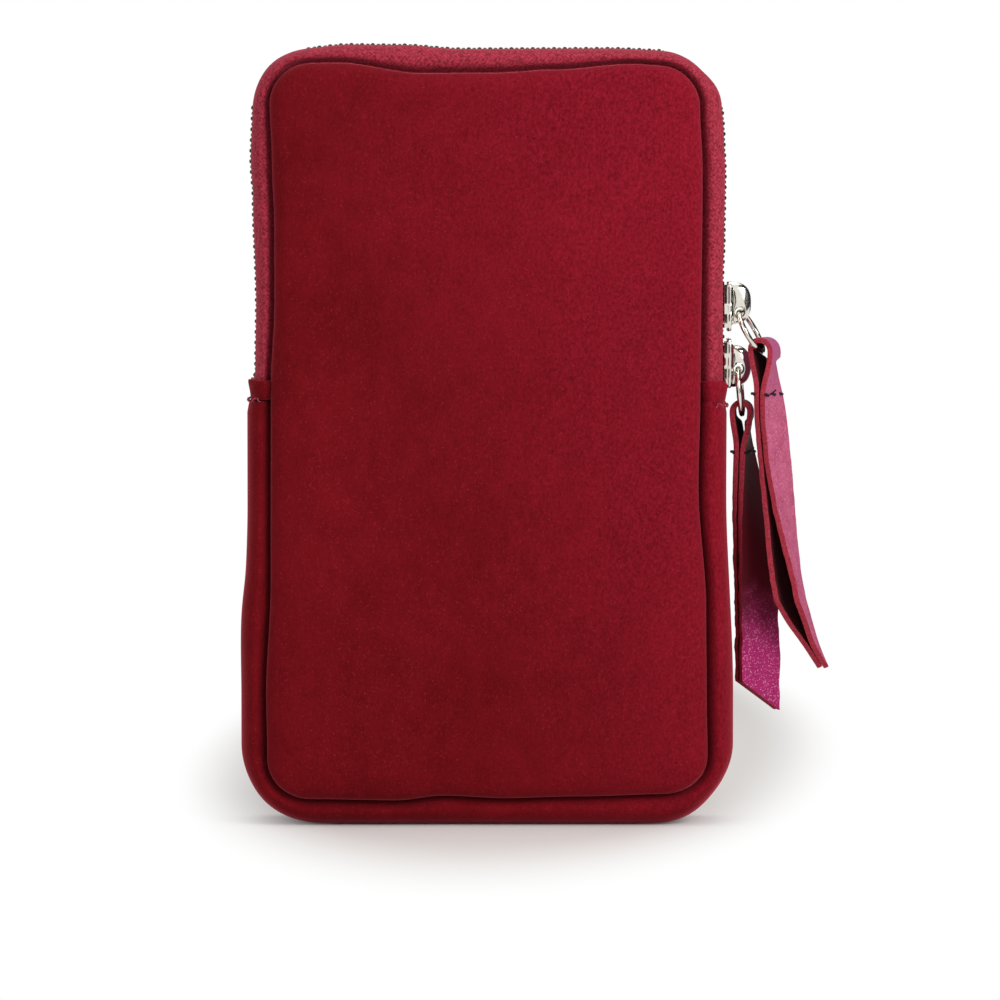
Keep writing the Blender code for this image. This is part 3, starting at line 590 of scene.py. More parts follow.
@dataclass(frozen=True)
class FoiledLeather(Finish):
    """Leather with a pressed metallic foil that breaks into tiny glittering flakes.

    Each flake tilts its own way, and some are painted nearly white as glints beside others that
    stay dark. Above a height the colour turns to a painted shade and the metal fades out: on the
    magenta pull the shade that the upper pull casts on it, on the pink pull a darker, duller pink
    near the fold.
    """

    deep: str
    lit: str
    # Painted shade: the colour that the face turns to above a height, which rises between the two
    # heights below.
    painted_shade_top: str
    painted_shade_from: float
    painted_shade_to: float
    # Painted glint colour of the flakes that catch the light.
    painted_glint: str = "#f2a4c8"
    flake_mm: float = 0.25
    mottle_mm: float = 4.0
    shade_edge_wander: float = 20 * MM
    flake_share: float = 0.45
    painted_glint_levels: tuple = (0.82, 0.98, 0.5)
    shine: float = 0.3
    tilt_mm: float = 0.12

    def dress(self, board: Board) -> dict:
        """Scatter the flakes with painted glints, and turn to the painted shade above the height,
        which a noise makes uneven.

        Args:
            board: The material's nodes.

        Returns:
            The shader's settings.
        """
        place = board.add("TexCoord", {}, "Object")
        flakes = board.add(
            "TexVoronoi", {"Scale": per_metre(self.flake_mm), "Vector": place}, "Color")
        shade, glint, tilt = board.add("SeparateColor", {0: flakes}).node.outputs
        mottle = board.add(
            "TexNoise", {"Scale": per_metre(self.mottle_mm), "Detail": 4.0, "Vector": place})
        tone = board.add(
            "Math", {"operation": "MULTIPLY_ADD", 0: shade, 1: self.flake_share, 2: mottle})
        # Painted glints: some flakes are mixed towards near white.
        low, high, most = self.painted_glint_levels
        painted_glints = board.add(
            "MapRange", {"Value": glint, "From Min": low, "From Max": high, "To Max": most})
        # Painted shade: above a height, made uneven by the noise, the colour turns to the painted
        # shade's colour and the metal fades out.
        height = board.add("SeparateXYZ", {0: place}, 2)
        uneven = board.add(
            "Math", {"operation": "MULTIPLY_ADD", 0: mottle, 1: self.shade_edge_wander, 2: height})
        painted_shade_share = board.add("MapRange", {
            "interpolation_type": "SMOOTHSTEP", "Value": uneven,
            "From Min": self.painted_shade_from + self.shade_edge_wander / 2,
            "From Max": self.painted_shade_to + self.shade_edge_wander / 2})
        colour = linear(self.deep)
        for share, layer in ((tone, self.lit), (painted_glints, self.painted_glint), (painted_shade_share, self.painted_shade_top)):
            colour = board.add("Mix", {"data_type": "RGBA", 0: share, 6: colour, 7: linear(layer)}, 2)
        metal = board.add(
            "Math", {"operation": "MULTIPLY_ADD", 0: painted_shade_share, 1: -self.shine, 2: self.shine})
        bump = board.add(
            "Bump", {"Strength": 0.5, "Distance": self.tilt_mm * MM, "Height": tilt})
        return {
            "Base Color": colour, "Metallic": metal, "Normal": bump, "Roughness": 0.55,
            "Specular IOR Level": 0.12}


@dataclass(frozen=True)
class RawLeather(Finish):
    """The flesh side or cut edge of leather, or waxed thread: fibres with no coating."""

    deep: str
    lit: str
    fibre_mm: float = 0.5
    roughness: float = 0.9
    bump_mm: float = 0.1

    def dress(self, board: Board) -> dict:
        """Mix the fibres' two tones.

        Args:
            board: The material's nodes.

        Returns:
            The shader's settings.
        """
        place = board.add("TexCoord", {}, "Object")
        fibre = board.add("TexNoise", {
            "Scale": per_metre(self.fibre_mm), "Detail": 4.0, "Roughness": 0.7, "Vector": place})
        tone = board.add("MapRange", {"Value": fibre, "From Min": 0.3, "From Max": 0.7})
        colour = board.add(
            "Mix", {"data_type": "RGBA", 0: tone, 6: linear(self.deep), 7: linear(self.lit)}, 2)
        bump = board.add(
            "Bump", {"Strength": 0.6, "Distance": self.bump_mm * MM, "Height": fibre})
        return {
            "Base Color": colour, "Normal": bump, "Roughness": self.roughness,
            "Specular IOR Level": 0.25}


@dataclass(frozen=True)
class MattCard(Finish):
    """Plain card, which looks flat and even: the floor, and the cards that metal mirrors."""

    colour: str
    roughness: float
    gloss: float

    def dress(self, board: Board) -> dict:
        """The shader's settings, all of them plain."""
        return {
            "Base Color": linear(self.colour), "Roughness": self.roughness,
            "Specular IOR Level": self.gloss}


@dataclass(frozen=True)
class Palette:
    """Every finish of the pouch, built once."""

    suede: Material = field(default_factory=Suede("buffed_goat_suede").build)
    tape: Material = field(
        default_factory=WovenTape("herringbone_zip_tape", "#6c0c1a", "#b43148").build)
    lining: Material = field(
        default_factory=PlainCloth("plain_woven_lining", "#3a0a10", "#521019").build)
    foam: Material = field(
        default_factory=PlainCloth("faced_padding_foam", "#b0aa9c", "#c2bcae", 1.2).build)
    teeth: Material = field(
        default_factory=CastMetal("tumbled_antique_brass", "#2c211b", "#4e4034", 0.42, 0.2).build)
    nickel: Material = field(
        default_factory=CastMetal("polished_nickel_plate", "#ebe7dd", "#d6d1c5", 0.12, 0.08).build)
    # The pink pull's top near the fold is a painted shade: a darker, duller pink without metal.
    upper_foil: Material = field(default_factory=FoiledLeather(
        "pink_foiled_leather", "#8e2a4a", "#cc6488", "#a8547c", 0.098, 0.106).build)
    # The magenta pull's upper part is a painted shade, dark red, where the upper pull shades it.
    lower_foil: Material = field(default_factory=FoiledLeather(
        "magenta_foiled_leather", "#86164c", "#a82868", "#520a18", 0.038, 0.057).build)
    # The flesh side is a near-black red: partly its own colour, partly painted shade for the shaded
    # inside of the folds.
    flesh: Material = field(
        default_factory=RawLeather("dark_flesh_side", "#2e060c", "#54101a").build)
    cut_edge: Material = field(
        default_factory=RawLeather("raw_cut_leather_edge", "#86182a", "#bc4050").build)
    black_thread: Material = field(
        default_factory=RawLeather("waxed_black_thread", "#0c0709", "#2b1418", 0.3, 0.6).build)
    red_thread: Material = field(
        default_factory=RawLeather("red_sewing_thread", "#8e2434", "#c0566a", 0.3, 0.7).build)


@dataclass(frozen=True)
class Outline:
    """A rounded rectangle in the XZ plane, the same on both sides of x = 0."""

    half_width: float
    low: float
    high: float
    corner: float

    def inset(self, distance: float) -> "Outline":
        """The same outline drawn in by a distance."""
        corner = max(self.corner - distance, 0.1 * MM)
        return Outline(self.half_width - distance, self.low + distance, self.high - distance, corner)

    def depth(self, x: np.ndarray, z: np.ndarray) -> np.ndarray:
        """How far inside the outline points lie.

        With p the point taken from the corner arc's centre, the depth is the corner's radius less
        the length of p's positive part, less p's larger part where both are negative.

        Args:
            x: The points' places across.
            z: The points' heights.

        Returns:
            The distance to the outline, negative outside it.
        """
        across = np.abs(x) - (self.half_width - self.corner)
        up = np.abs(z - (self.low + self.high) / 2) - ((self.high - self.low) / 2 - self.corner)
        outside = np.hypot(np.maximum(across, 0), np.maximum(up, 0))
        return self.corner - outside - np.minimum(np.maximum(across, up), 0)

    def grid(self, columns: int, rows: int, arc_rows: int) -> np.ndarray:
        """A grid that fills the outline, crowded towards its edge.

        A row at a height is as wide as the outline there. Rows follow the corners' arcs by equal
        angles, and points in a row lie at the sine of equal angles.

        Args:
            columns: How many points a row has.
            rows: How many rows the straight sides have.
            arc_rows: How many rows each pair of corners has.

        Returns:
            The grid's x and z, on the last axis.
        """
        turn = np.linspace(math.pi / 2, 0, arc_rows)
        arc_width = self.half_width - self.corner + self.corner * np.cos(turn)
        rise = self.corner * (1 - np.sin(turn))
        straight = np.linspace(self.low + self.corner, self.high - self.corner, rows)[1:-1]
        z = np.concatenate([self.low + rise, straight, (self.high - rise)[::-1]])
        sides = np.full(len(straight), self.half_width)
        width = np.concatenate([arc_width, sides, arc_width[::-1]])
        share = np.sin(np.linspace(-math.pi / 2, math.pi / 2, columns))
        return join(width[:, None] * share[None, :], z[:, None])

    def hit(self, centre: tuple, turn: np.ndarray, up: int) -> np.ndarray:
        """Where rays from a point inside the right half meet the outline.

        A ray meets the corner's arc where its distance t solves |t d - a| = corner, with a the
        arc's centre from the ray's start. Where that lies off the arc it meets a straight side.

        Args:
            centre: The rays' start, as x and z.
            turn: Each ray's angle from +X.
            up: 1 for rays towards the top, -1 for rays towards the base.

        Returns:
            The points' x and z, on the last axis.
        """
        edge_x = self.half_width - centre[0]
        edge_z = self.high - centre[1] if up > 0 else centre[1] - self.low
        ray_x, ray_z = np.maximum(np.cos(turn), 1e-9), np.maximum(np.sin(turn), 1e-9)
        arc_x, arc_z = edge_x - self.corner, edge_z - self.corner
        along = arc_x * ray_x + arc_z * ray_z
        reach = along + np.sqrt(np.maximum(along**2 - arc_x**2 - arc_z**2 + self.corner**2, 0))
        reach = np.where(
            reach * ray_x < arc_x, edge_z / ray_z,
            np.where(reach * ray_z < arc_z, edge_x / ray_x, reach))
        return join(centre[0] + reach * ray_x, centre[1] + up * reach * ray_z)


@dataclass(frozen=True)
class Sizes:
    """The pouch's driving sizes: the frame gives the large ones, the rest repeat the part's."""

    half_depth: float
    panel: Outline
    gusset: Outline
    tape: Outline
    gusset_top: float
    zip_end: float
    sliders_meet: float
    panel_rise: float = 3.4 * MM
    tape_thickness: float = 0.6 * MM
    fold_low: float = 0.1150
    fold_high: float = 0.1390

    @classmethod
    def from_frame(cls) -> "Sizes":
        """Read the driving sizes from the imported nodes.

        Returns:
            The sizes.
        """
        panel_low, panel_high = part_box("back_panel")
        gusset_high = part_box("lower_gusset")[1]
        tape_low, tape_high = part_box("back_zip_tape")
        half_thickness = cls.tape_thickness / 2
        slider_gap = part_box("lower_slider")[1].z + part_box("upper_slider")[0].z
        tape_top = tape_high.z - half_thickness
        return cls(
            half_depth=panel_high.y,
            panel=Outline(panel_high.x, panel_low.z, panel_high.z, corner=9.5 * MM),
            gusset=Outline(gusset_high.x, 0.0, tape_top, corner=18.4 * MM),
            tape=Outline(tape_high.x - half_thickness, 0.0, tape_top, corner=13.8 * MM),
            gusset_top=gusset_high.z,
            zip_end=tape_low.z,
            sliders_meet=slider_gap / 2,
        )

    @property
    def seam_half(self) -> float:
        """Half the distance between the front and back seams."""
        return self.half_depth - self.panel_rise

    @property
    def heart(self) -> np.ndarray:
        """A point inside the pouch."""
        return np.array([0.0, 0.0, (self.panel.low + self.panel.high) / 2])


@dataclass(frozen=True)
class Wander:
    """How far out of its true line a seam or an edge lies, at places along it."""

    places: tuple
    out_mm: tuple

    def at(self, along: np.ndarray) -> np.ndarray:
        """The distance out at each place.

        Args:
            along: The places.

        Returns:
            The first distance plus each later rise times its own smoothstep.
        """
        out = np.full(np.shape(along), float(self.out_mm[0]))
        for low, high, start, end in zip(
                self.places, self.places[1:], self.out_mm, self.out_mm[1:]):
            out = out + (end - start) * smoothstep(low, high, along)
        return out * MM


@dataclass(frozen=True)
class SeamDrift:
    """How a hand-sewn pouch wanders from its pattern, along its seam and along its outer edge.

    The seam's drift fades to nothing at the outer edge and some way into the panel. The edge's
    drift starts at the seam and is whole at the outer edge. The base's outer edge stays true.
    """

    sizes: Sizes
    top_seam: Wander = Wander(
        (-0.043, -0.034, -0.015, 0.001, 0.015, 0.033, 0.043),
        (0.2, 0.3, -2.1, -2.0, -1.3, 0.0, -0.5))
    right_seam: Wander = Wander(
        (0.016, 0.028, 0.050, 0.078, 0.100, 0.150, 0.165), (0.8, 0.6, 0.4, -1.4, -1.0, -0.6, -1.2))
    left_seam: Wander = Wander(
        (0.018, 0.030, 0.056, 0.100, 0.120, 0.138, 0.152, 0.168),
        (1.0, 1.2, 0.1, 0.0, -0.9, -0.9, -0.4, 0.2))
    base_seam: Wander = Wander(
        (-0.040, -0.021, -0.010, 0.004, 0.020, 0.043), (-0.3, 0.0, -1.1, -0.5, -0.9, -1.5))
    top_edge: Wander = Wander(
        (-0.042, -0.032, -0.020, -0.006, 0.028, 0.042), (0, 0.8, 0.7, -0.2, -0.1, -0.6))
    right_edge: Wander = Wander(
        (0.126, 0.135, 0.150, 0.158, 0.165), (0, 0.3, 0.5, 0.2, -0.2))
    left_edge: Wander = Wander(
        (0.030, 0.048, 0.060, 0.100, 0.105, 0.120, 0.144, 0.153, 0.165),
        (0.3, 0.8, 0.3, 0.3, -0.6, -0.8, -0.1, 0.4, 0.0))
    base_edge: Wander = Wander((0.0,), (0.0,))
    fade_in: float = 16 * MM

    def apply(self, points: np.ndarray) -> np.ndarray:
        """Move points with the seam and the outer edge.

        Args:
            points: Points with x, y and z on the last axis.

        Returns:
            The moved points.
        """
        x, z = points[..., 0], points[..., 2]
        panel, gusset, tape = self.sizes.panel, self.sizes.gusset, self.sizes.tape
        crest = np.where(z > self.sizes.gusset_top, tape.half_width, gusset.half_width)
        side_room = crest - panel.half_width
        moved = points.copy()
        for axis, way, line, room, along, seam, edge in (
            (0, 1, panel.half_width, side_room, z, self.right_seam, self.right_edge),
            (0, -1, panel.half_width, side_room, z, self.left_seam, self.left_edge),
            (2, 1, panel.high, tape.high - panel.high, x, self.top_seam, self.top_edge),
            (2, -1, -panel.low, panel.low - gusset.low, x, self.base_seam, self.base_edge),
        ):
            distance = way * points[..., axis] - line
            crossed = smoothstep(0.0, 1.0, distance / room)
            inside = 1 - smoothstep(0.0, self.fade_in, -distance)
            share = np.where(distance > 0, 1 - crossed, inside)
            moved[..., axis] += way * (seam.at(along) * share + edge.at(along) * crossed)
        return moved


@dataclass(frozen=True)
class Route:
    """Where a band leaves the panel's seam and where its crest lies, as paired XZ points."""

    seam: np.ndarray
    crest: np.ndarray

    @classmethod
    def side(cls, panel: Outline, half_width: np.ndarray | float, heights: np.ndarray) -> "Route":
        """Up or down the right side, with its crest at a half width."""
        return cls(join(panel.half_width, heights), join(half_width, heights))

    @classmethod
    def end(cls, panel: Outline, shell: Outline, up: int, corner: int, run: int) -> "Route":
        """Round a right corner and along the top or the base to the middle.

        Args:
            panel: The panel's outline.
            shell: The crest's outline.
            up: 1 for the top, -1 for the base.
            corner: How many steps the corner has.
            run: How many steps the straight run has.

        Returns:
            The route.
        """
        seam_z, crest_z = (panel.high, shell.high) if up > 0 else (panel.low, shell.low)
        centre = (shell.half_width - shell.corner, crest_z - up * shell.corner)
        turn = np.linspace(0, math.pi / 2, corner + 1)
        arc = join(np.cos(turn), up * np.sin(turn)) * shell.corner + np.array(centre)
        x = np.linspace(centre[0], 0, run + 1)[1:]
        return cls(
            np.concatenate([panel.hit(centre, turn, up), join(x, seam_z)]),
            np.concatenate([arc, join(x, crest_z)]))

    def then(self, other: "Route") -> "Route":
        """This route and another after it."""
        pairs = ((self.seam, other.seam), (self.crest, other.crest))
        return Route(*(np.concatenate(pair) for pair in pairs))

    def and_back(self) -> "Route":
        """This route and its mirror image back down the left side."""
        return self.then(Route(self.seam[-2::-1] * FLIP_FIRST, self.crest[-2::-1] * FLIP_FIRST))

    def band(self, profile: np.ndarray, seam_half: float, inset: float = 0.0) -> np.ndarray:
        """Carry a profile along the route.

        A point is the seam plus the profile's first share of the way out to the crest, and its y
        is the profile's second share of half the distance between the seams.

        Args:
            profile: Pairs of shares: out towards the crest, and across.
            seam_half: Half the distance between the seams.
            inset: How far the band is drawn in towards the pouch's middle.

        Returns:
            The band's grid.
        """
        out = (self.crest - self.seam)[:, None, :]
        flat = self.seam[:, None, :] + out * profile[None, :, :1] - unit(out) * inset
        return join(flat[..., 0], profile[None, :, 1] * seam_half, flat[..., 1])


@dataclass
class SubAssembly:
    """What every sub-assembly works with: the pouch's sizes and its finishes."""

    sizes: Sizes
    palette: Palette

    def attach(self, piece: Piece, slot: str, nodes: tuple, body: str) -> None:
        """Hide the nodes that a piece stands for, and hang it on the body that it moves with.

        Args:
            piece: The piece.
            slot: The name of its finish's slot; not used.
            nodes: The nodes that it stands for.
            body: The body that it rides on. With "mouth" its place is baked into its mesh and it
                hangs on no body.
        """
        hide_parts(*nodes)
        if body == "mouth":
            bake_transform(piece)
        else:
            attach(piece, body)

    def declare(self, piece: Piece, patch: Patch, held: str, rests_on: tuple,
                narrowest: float = 0.0, with_pieces: tuple = ()) -> None:
        """Take a sheet's facts and do nothing with them.

        Args:
            piece: The piece; not used.
            patch: The patch of its surface; not used.
            held: How it is held; not used.
            rests_on: The names of the pieces that it rests on; not used.
            narrowest: The least width of its cut; not used.
            with_pieces: The separate pieces on it; not used.
        """


@dataclass(frozen=True)
class PanelLayer:
    """One layer of a panel: how deep it lies, how far in its rim is and how thick it is."""

    name: str
    slot: str
    sunk: float
    rim: float
    thickness: float


@dataclass
class Panels(SubAssembly):
    """The padded front and back: suede, foam and lining, each one soft piece on its side."""

    drift: SeamDrift
    columns: int = 121
    rows: int = 100
    arc_rows: int = 13
    climb: float = 20 * MM
    climb_power: float = 2.6
    groove: float = 1.3 * MM
    groove_width: float = 0.95 * MM
    swell: float = 0.28 * MM
    swell_in: float = 14 * MM
    fill: float = 0.5
    suede: PanelLayer = PanelLayer("panel", "suede", 0.0, 0.0, 1.2 * MM)
    foam: PanelLayer = PanelLayer("padding", "padding_foam", 1.5 * MM, 2.1 * MM, 2.0 * MM)
    lining: PanelLayer = PanelLayer("lining", "lining_cloth", 3.8 * MM, 2.1 * MM, 0.4 * MM)

    def surface(self, side: Side, layer: PanelLayer) -> np.ndarray:
        """The outer surface of a layer.

        At a depth d inside the outline it has climbed 1 - (1 - sqrt(d / climb))^power of its rise.
        The rim rolls down into the seam by the groove's depth times exp(-d / groove width), and
        slow waves of the padding, the sum of three products or sines, add a little swell.

        Args:
            side: The front or the back.
            layer: The layer.

        Returns:
            The surface's grid.
        """
        flat = self.sizes.panel.inset(layer.rim).grid(self.columns, self.rows, self.arc_rows)
        x, z = flat[..., 0], flat[..., 1]
        depth = np.maximum(self.sizes.panel.depth(x, z), 0.0)
        share = np.sqrt(np.clip(depth / self.climb, 0, 1))
        rise = self.sizes.panel_rise * (1 - (1 - share) ** self.climb_power)
        rolled = self.groove * np.exp(-depth / self.groove_width)
        inner = smoothstep(0.0, self.swell_in, depth)
        phase = side.value * 1.7
        waves = (
            np.sin(x / (17 * MM) + 0.8 + phase) * np.sin(z / (26 * MM) + 0.4)
            + 0.6 * np.sin(x / (9 * MM) - z / (31 * MM) + phase)
            + 0.35 * np.sin(x / (6 * MM) + z / (12 * MM) + 2.0)
        )
        across = self.sizes.seam_half + rise - rolled - layer.sunk
        across = across + self.swell * waves * inner - self.swell * inner
        return self.drift.apply(join(x, side.value * across, z))

    def build(self) -> None:
        """Make every layer of both sides."""
        dressed = (
            (self.suede, self.palette.suede), (self.foam, self.palette.foam),
            (self.lining, self.palette.lining))
        for layer, finish in dressed:
            for side in Side:
                name = f"{side.name.lower()}_{layer.name}"
                patch = Patch.shell(self.surface(side, layer), layer.thickness, self.sizes.heart)
                piece = make_piece(f"{name}_skin", [patch], [finish])
                if side is Side.FRONT:
                    self.attach(piece, layer.slot, (f"{name}_lower", f"{name}_upper"), "mouth")
                else:
                    self.attach(piece, layer.slot, (name,), "pouch")


@dataclass
class Gusset(SubAssembly):
    """The suede band round the base and up both sides, its lining, and tabs on the zip's ends."""

    drift: SeamDrift
    draw_in: float = 1.5 * MM
    full_height: float = 30 * MM
    drawn_height: float = 74 * MM
    tuck: float = 0.5 * MM
    tuck_height: float = 2.5 * MM
    thickness: float = 1.2 * MM
    lining_thickness: float = 0.4 * MM
    lining_inset: float = 2.1 * MM
    lining_share: float = 0.70
    tab_low: tuple = (-1.0 * MM, 0.3 * MM)
    tab_rise: tuple = (5.4 * MM, 4.4 * MM)
    tab_rise_at_chain: float = 2.4 * MM
    tab_near_chain: tuple = (5.2 * MM, 7.5 * MM)
    tab_out: float = 1.35 * MM
    tab_out_less: float = 0.45 * MM
    tab_gap: float = 0.2 * MM
    tab_foot: float = 0.35
    tab_thickness: float = 0.5 * MM
    tab_width: float = 10 * MM
    pucker: float = 0.14 * MM
    wander: float = 0.30 * MM
    thread_radius: float = 0.12 * MM
    stitches: int = 15
    stitch_rise: float = 0.55 * MM
    stitch_out: tuple = (1.3 * MM, 0.9 * MM)
    seam_allowance: tuple = ((-0.22, 0.99), (-0.13, 0.87))
    profile_shares: tuple = (
        (-0.05, 0.76), (0.05, 0.80), (0.13, 0.87), (0.25, 0.97), (0.41, 1.02), (0.60, 0.98),
        (0.77, 0.87), (0.90, 0.71), (0.97, 0.56), (1.0, 0.38), (1.005, 0.0),
    )

    def profile(self, count: int, allowance: tuple = ()) -> np.ndarray:
        """The band's section, from the front seam over the crest to the back seam.

        Args:
            count: How many points the section has.
            allowance: The part that is turned in behind the panel, if it is wanted.

        Returns:
            Pairs of shares: how far out of the seam, and of the way to the front.
        """
        half = np.array(allowance + self.profile_shares)
        return spline(np.concatenate([half, half[-2::-1] * FLIP_LAST]), count) * FLIP_LAST

    def route(self, rows: int) -> Route:
        """Down the right side, under the base and up the left.

        Args:
            rows: How many heights each side has.

        Returns:
            The route, drawn in above the base and tucked under the tabs.
        """
        gusset, top = self.sizes.gusset, self.sizes.gusset_top
        heights = np.linspace(top, gusset.low + gusset.corner, rows)[:-1]
        drawn = self.draw_in * smoothstep(self.full_height, self.drawn_height, heights)
        tucked = self.tuck * smoothstep(top - self.tuck_height, top, heights)
        side = Route.side(self.sizes.panel, gusset.half_width - drawn - tucked, heights)
        return side.then(Route.end(self.sizes.panel, gusset, -1, 22, 26)).and_back()

    def tab_level(self, way: int) -> tuple:
        """A tab's lower edge and how far it rises: the right one is sewn on a little lower."""
        number = 0 if way > 0 else 1
        return self.sizes.gusset_top + self.tab_low[number], self.tab_rise[number]

    def tab_patch(self, way: int, path: np.ndarray) -> Patch:
        """A folded strip of suede over one end of the zip.

        Its section is a squared arch, carried along the tape's own section from seam to seam. The
        arch is taller at the front and back than between them, where a slider comes close. Sines
        along it give the puckers, and a slow wander of its edge.

        Args:
            way: 1 for the right side, -1 for the left.
            path: The tape's outer section as x and y, from the front seam to the back seam.

        Returns:
            The closed patch.
        """
        along = unit(np.gradient(path, axis=0))
        normal = join(-along[:, 1], along[:, 0]) * way
        if np.sum(normal[:, 0] * way) < 0:
            normal = -normal
        turn = np.linspace(0, math.pi, 23)
        lift = np.abs(np.sin(turn)) ** 0.4
        out = signed_power(np.cos(turn), 0.7)
        y = path[:, None, 1]
        near = (1 - smoothstep(*self.tab_near_chain, np.abs(y))) * (way > 0)
        low, whole = self.tab_level(way)
        rise = whole + (self.tab_rise_at_chain - whole) * near
        half_out = (self.tab_out - self.tab_out_less * near) / 2
        fat = self.tab_foot + (1 - self.tab_foot) * lift
        puckers = self.pucker * np.sin(y / (1.1 * MM) + 2.0 * turn + way) * lift
        offset = self.tab_gap + half_out * (1 + out) * fat + puckers
        flat = path[:, None] + normal[:, None] * offset[..., None]
        z = low + rise * lift + self.wander * np.sin(y / (2.1 * MM) + way) * lift
        grid = join(flat[..., 0], flat[..., 1], z)
        under = grid.mean(axis=(0, 1)) - np.array([0.0, 0.0, rise.max()])
        return Patch.shell(grid, self.tab_thickness, under)

    def tab_threads(self, way: int, path: np.ndarray) -> list:
        """Small crossing stitches that hold a tab down along its lower edge.

        Args:
            way: 1 for the right side, -1 for the left.
            path: The tape's outer section as x and y.

        Returns:
            The threads' patches.
        """
        threads = []
        level, final = self.tab_level(way)[0], len(path) - 1
        for number, share in enumerate(np.linspace(0.06, 0.94, self.stitches)):
            here = path[int(share * final)]
            beyond = path[min(int((share + 0.05) * final), final)]
            up = self.stitch_rise * (1 if number % 2 else -1)
            out = np.array([way, np.sign(here[1])]) * self.stitch_out
            first, last = here + out, beyond + out
            middle = (first + last) / 2 + out * 0.2
            knots = [(*first, level - up), (*middle, level), (*last, level + up)]
            threads.append(Patch.thread(knots, self.thread_radius, 7, 5, 1))
        return threads

    def build(self, tape_path: np.ndarray) -> None:
        """Make the band, its lining and both tabs with their stitches.

        Args:
            tape_path: The tape's outer section at the zip's end.
        """
        sizes, palette = self.sizes, self.palette
        band = self.route(60).band(self.profile(51, self.seam_allowance), sizes.seam_half)
        lining = self.route(30).band(
            self.profile(21), sizes.seam_half * self.lining_share, self.lining_inset)
        layers = (
            ("gusset_skin", "lower_gusset", "suede", palette.suede, self.drift.apply(band),
             self.thickness, ("front_panel_skin", "back_panel_skin")),
            ("gusset_lining_skin", "gusset_lining", "lining_cloth", palette.lining, lining,
             self.lining_thickness, ("gusset_skin",)))
        for name, node, slot, finish, grid, thickness, below in layers:
            patch = Patch.shell(grid, thickness, sizes.heart)
            piece = make_piece(name, [patch], [finish])
            self.attach(piece, slot, (node,), "pouch")
            self.declare(piece, patch, "stretched", below)
        for way, side in ((1, "right"), (-1, "left")):
            path = tape_path * np.array([way, 1.0])
            patch = self.tab_patch(way, path)
            finishes = [palette.suede, palette.red_thread]
            patches = [patch, *self.tab_threads(way, path)]
            piece = make_piece(f"zip_tab_{side}_welt", patches, finishes)
            self.attach(piece, "suede", (f"zip_end_tab_{side}",), "pouch")
            self.declare(piece, patch, "folded", ("gusset_skin",), narrowest=self.tab_width)


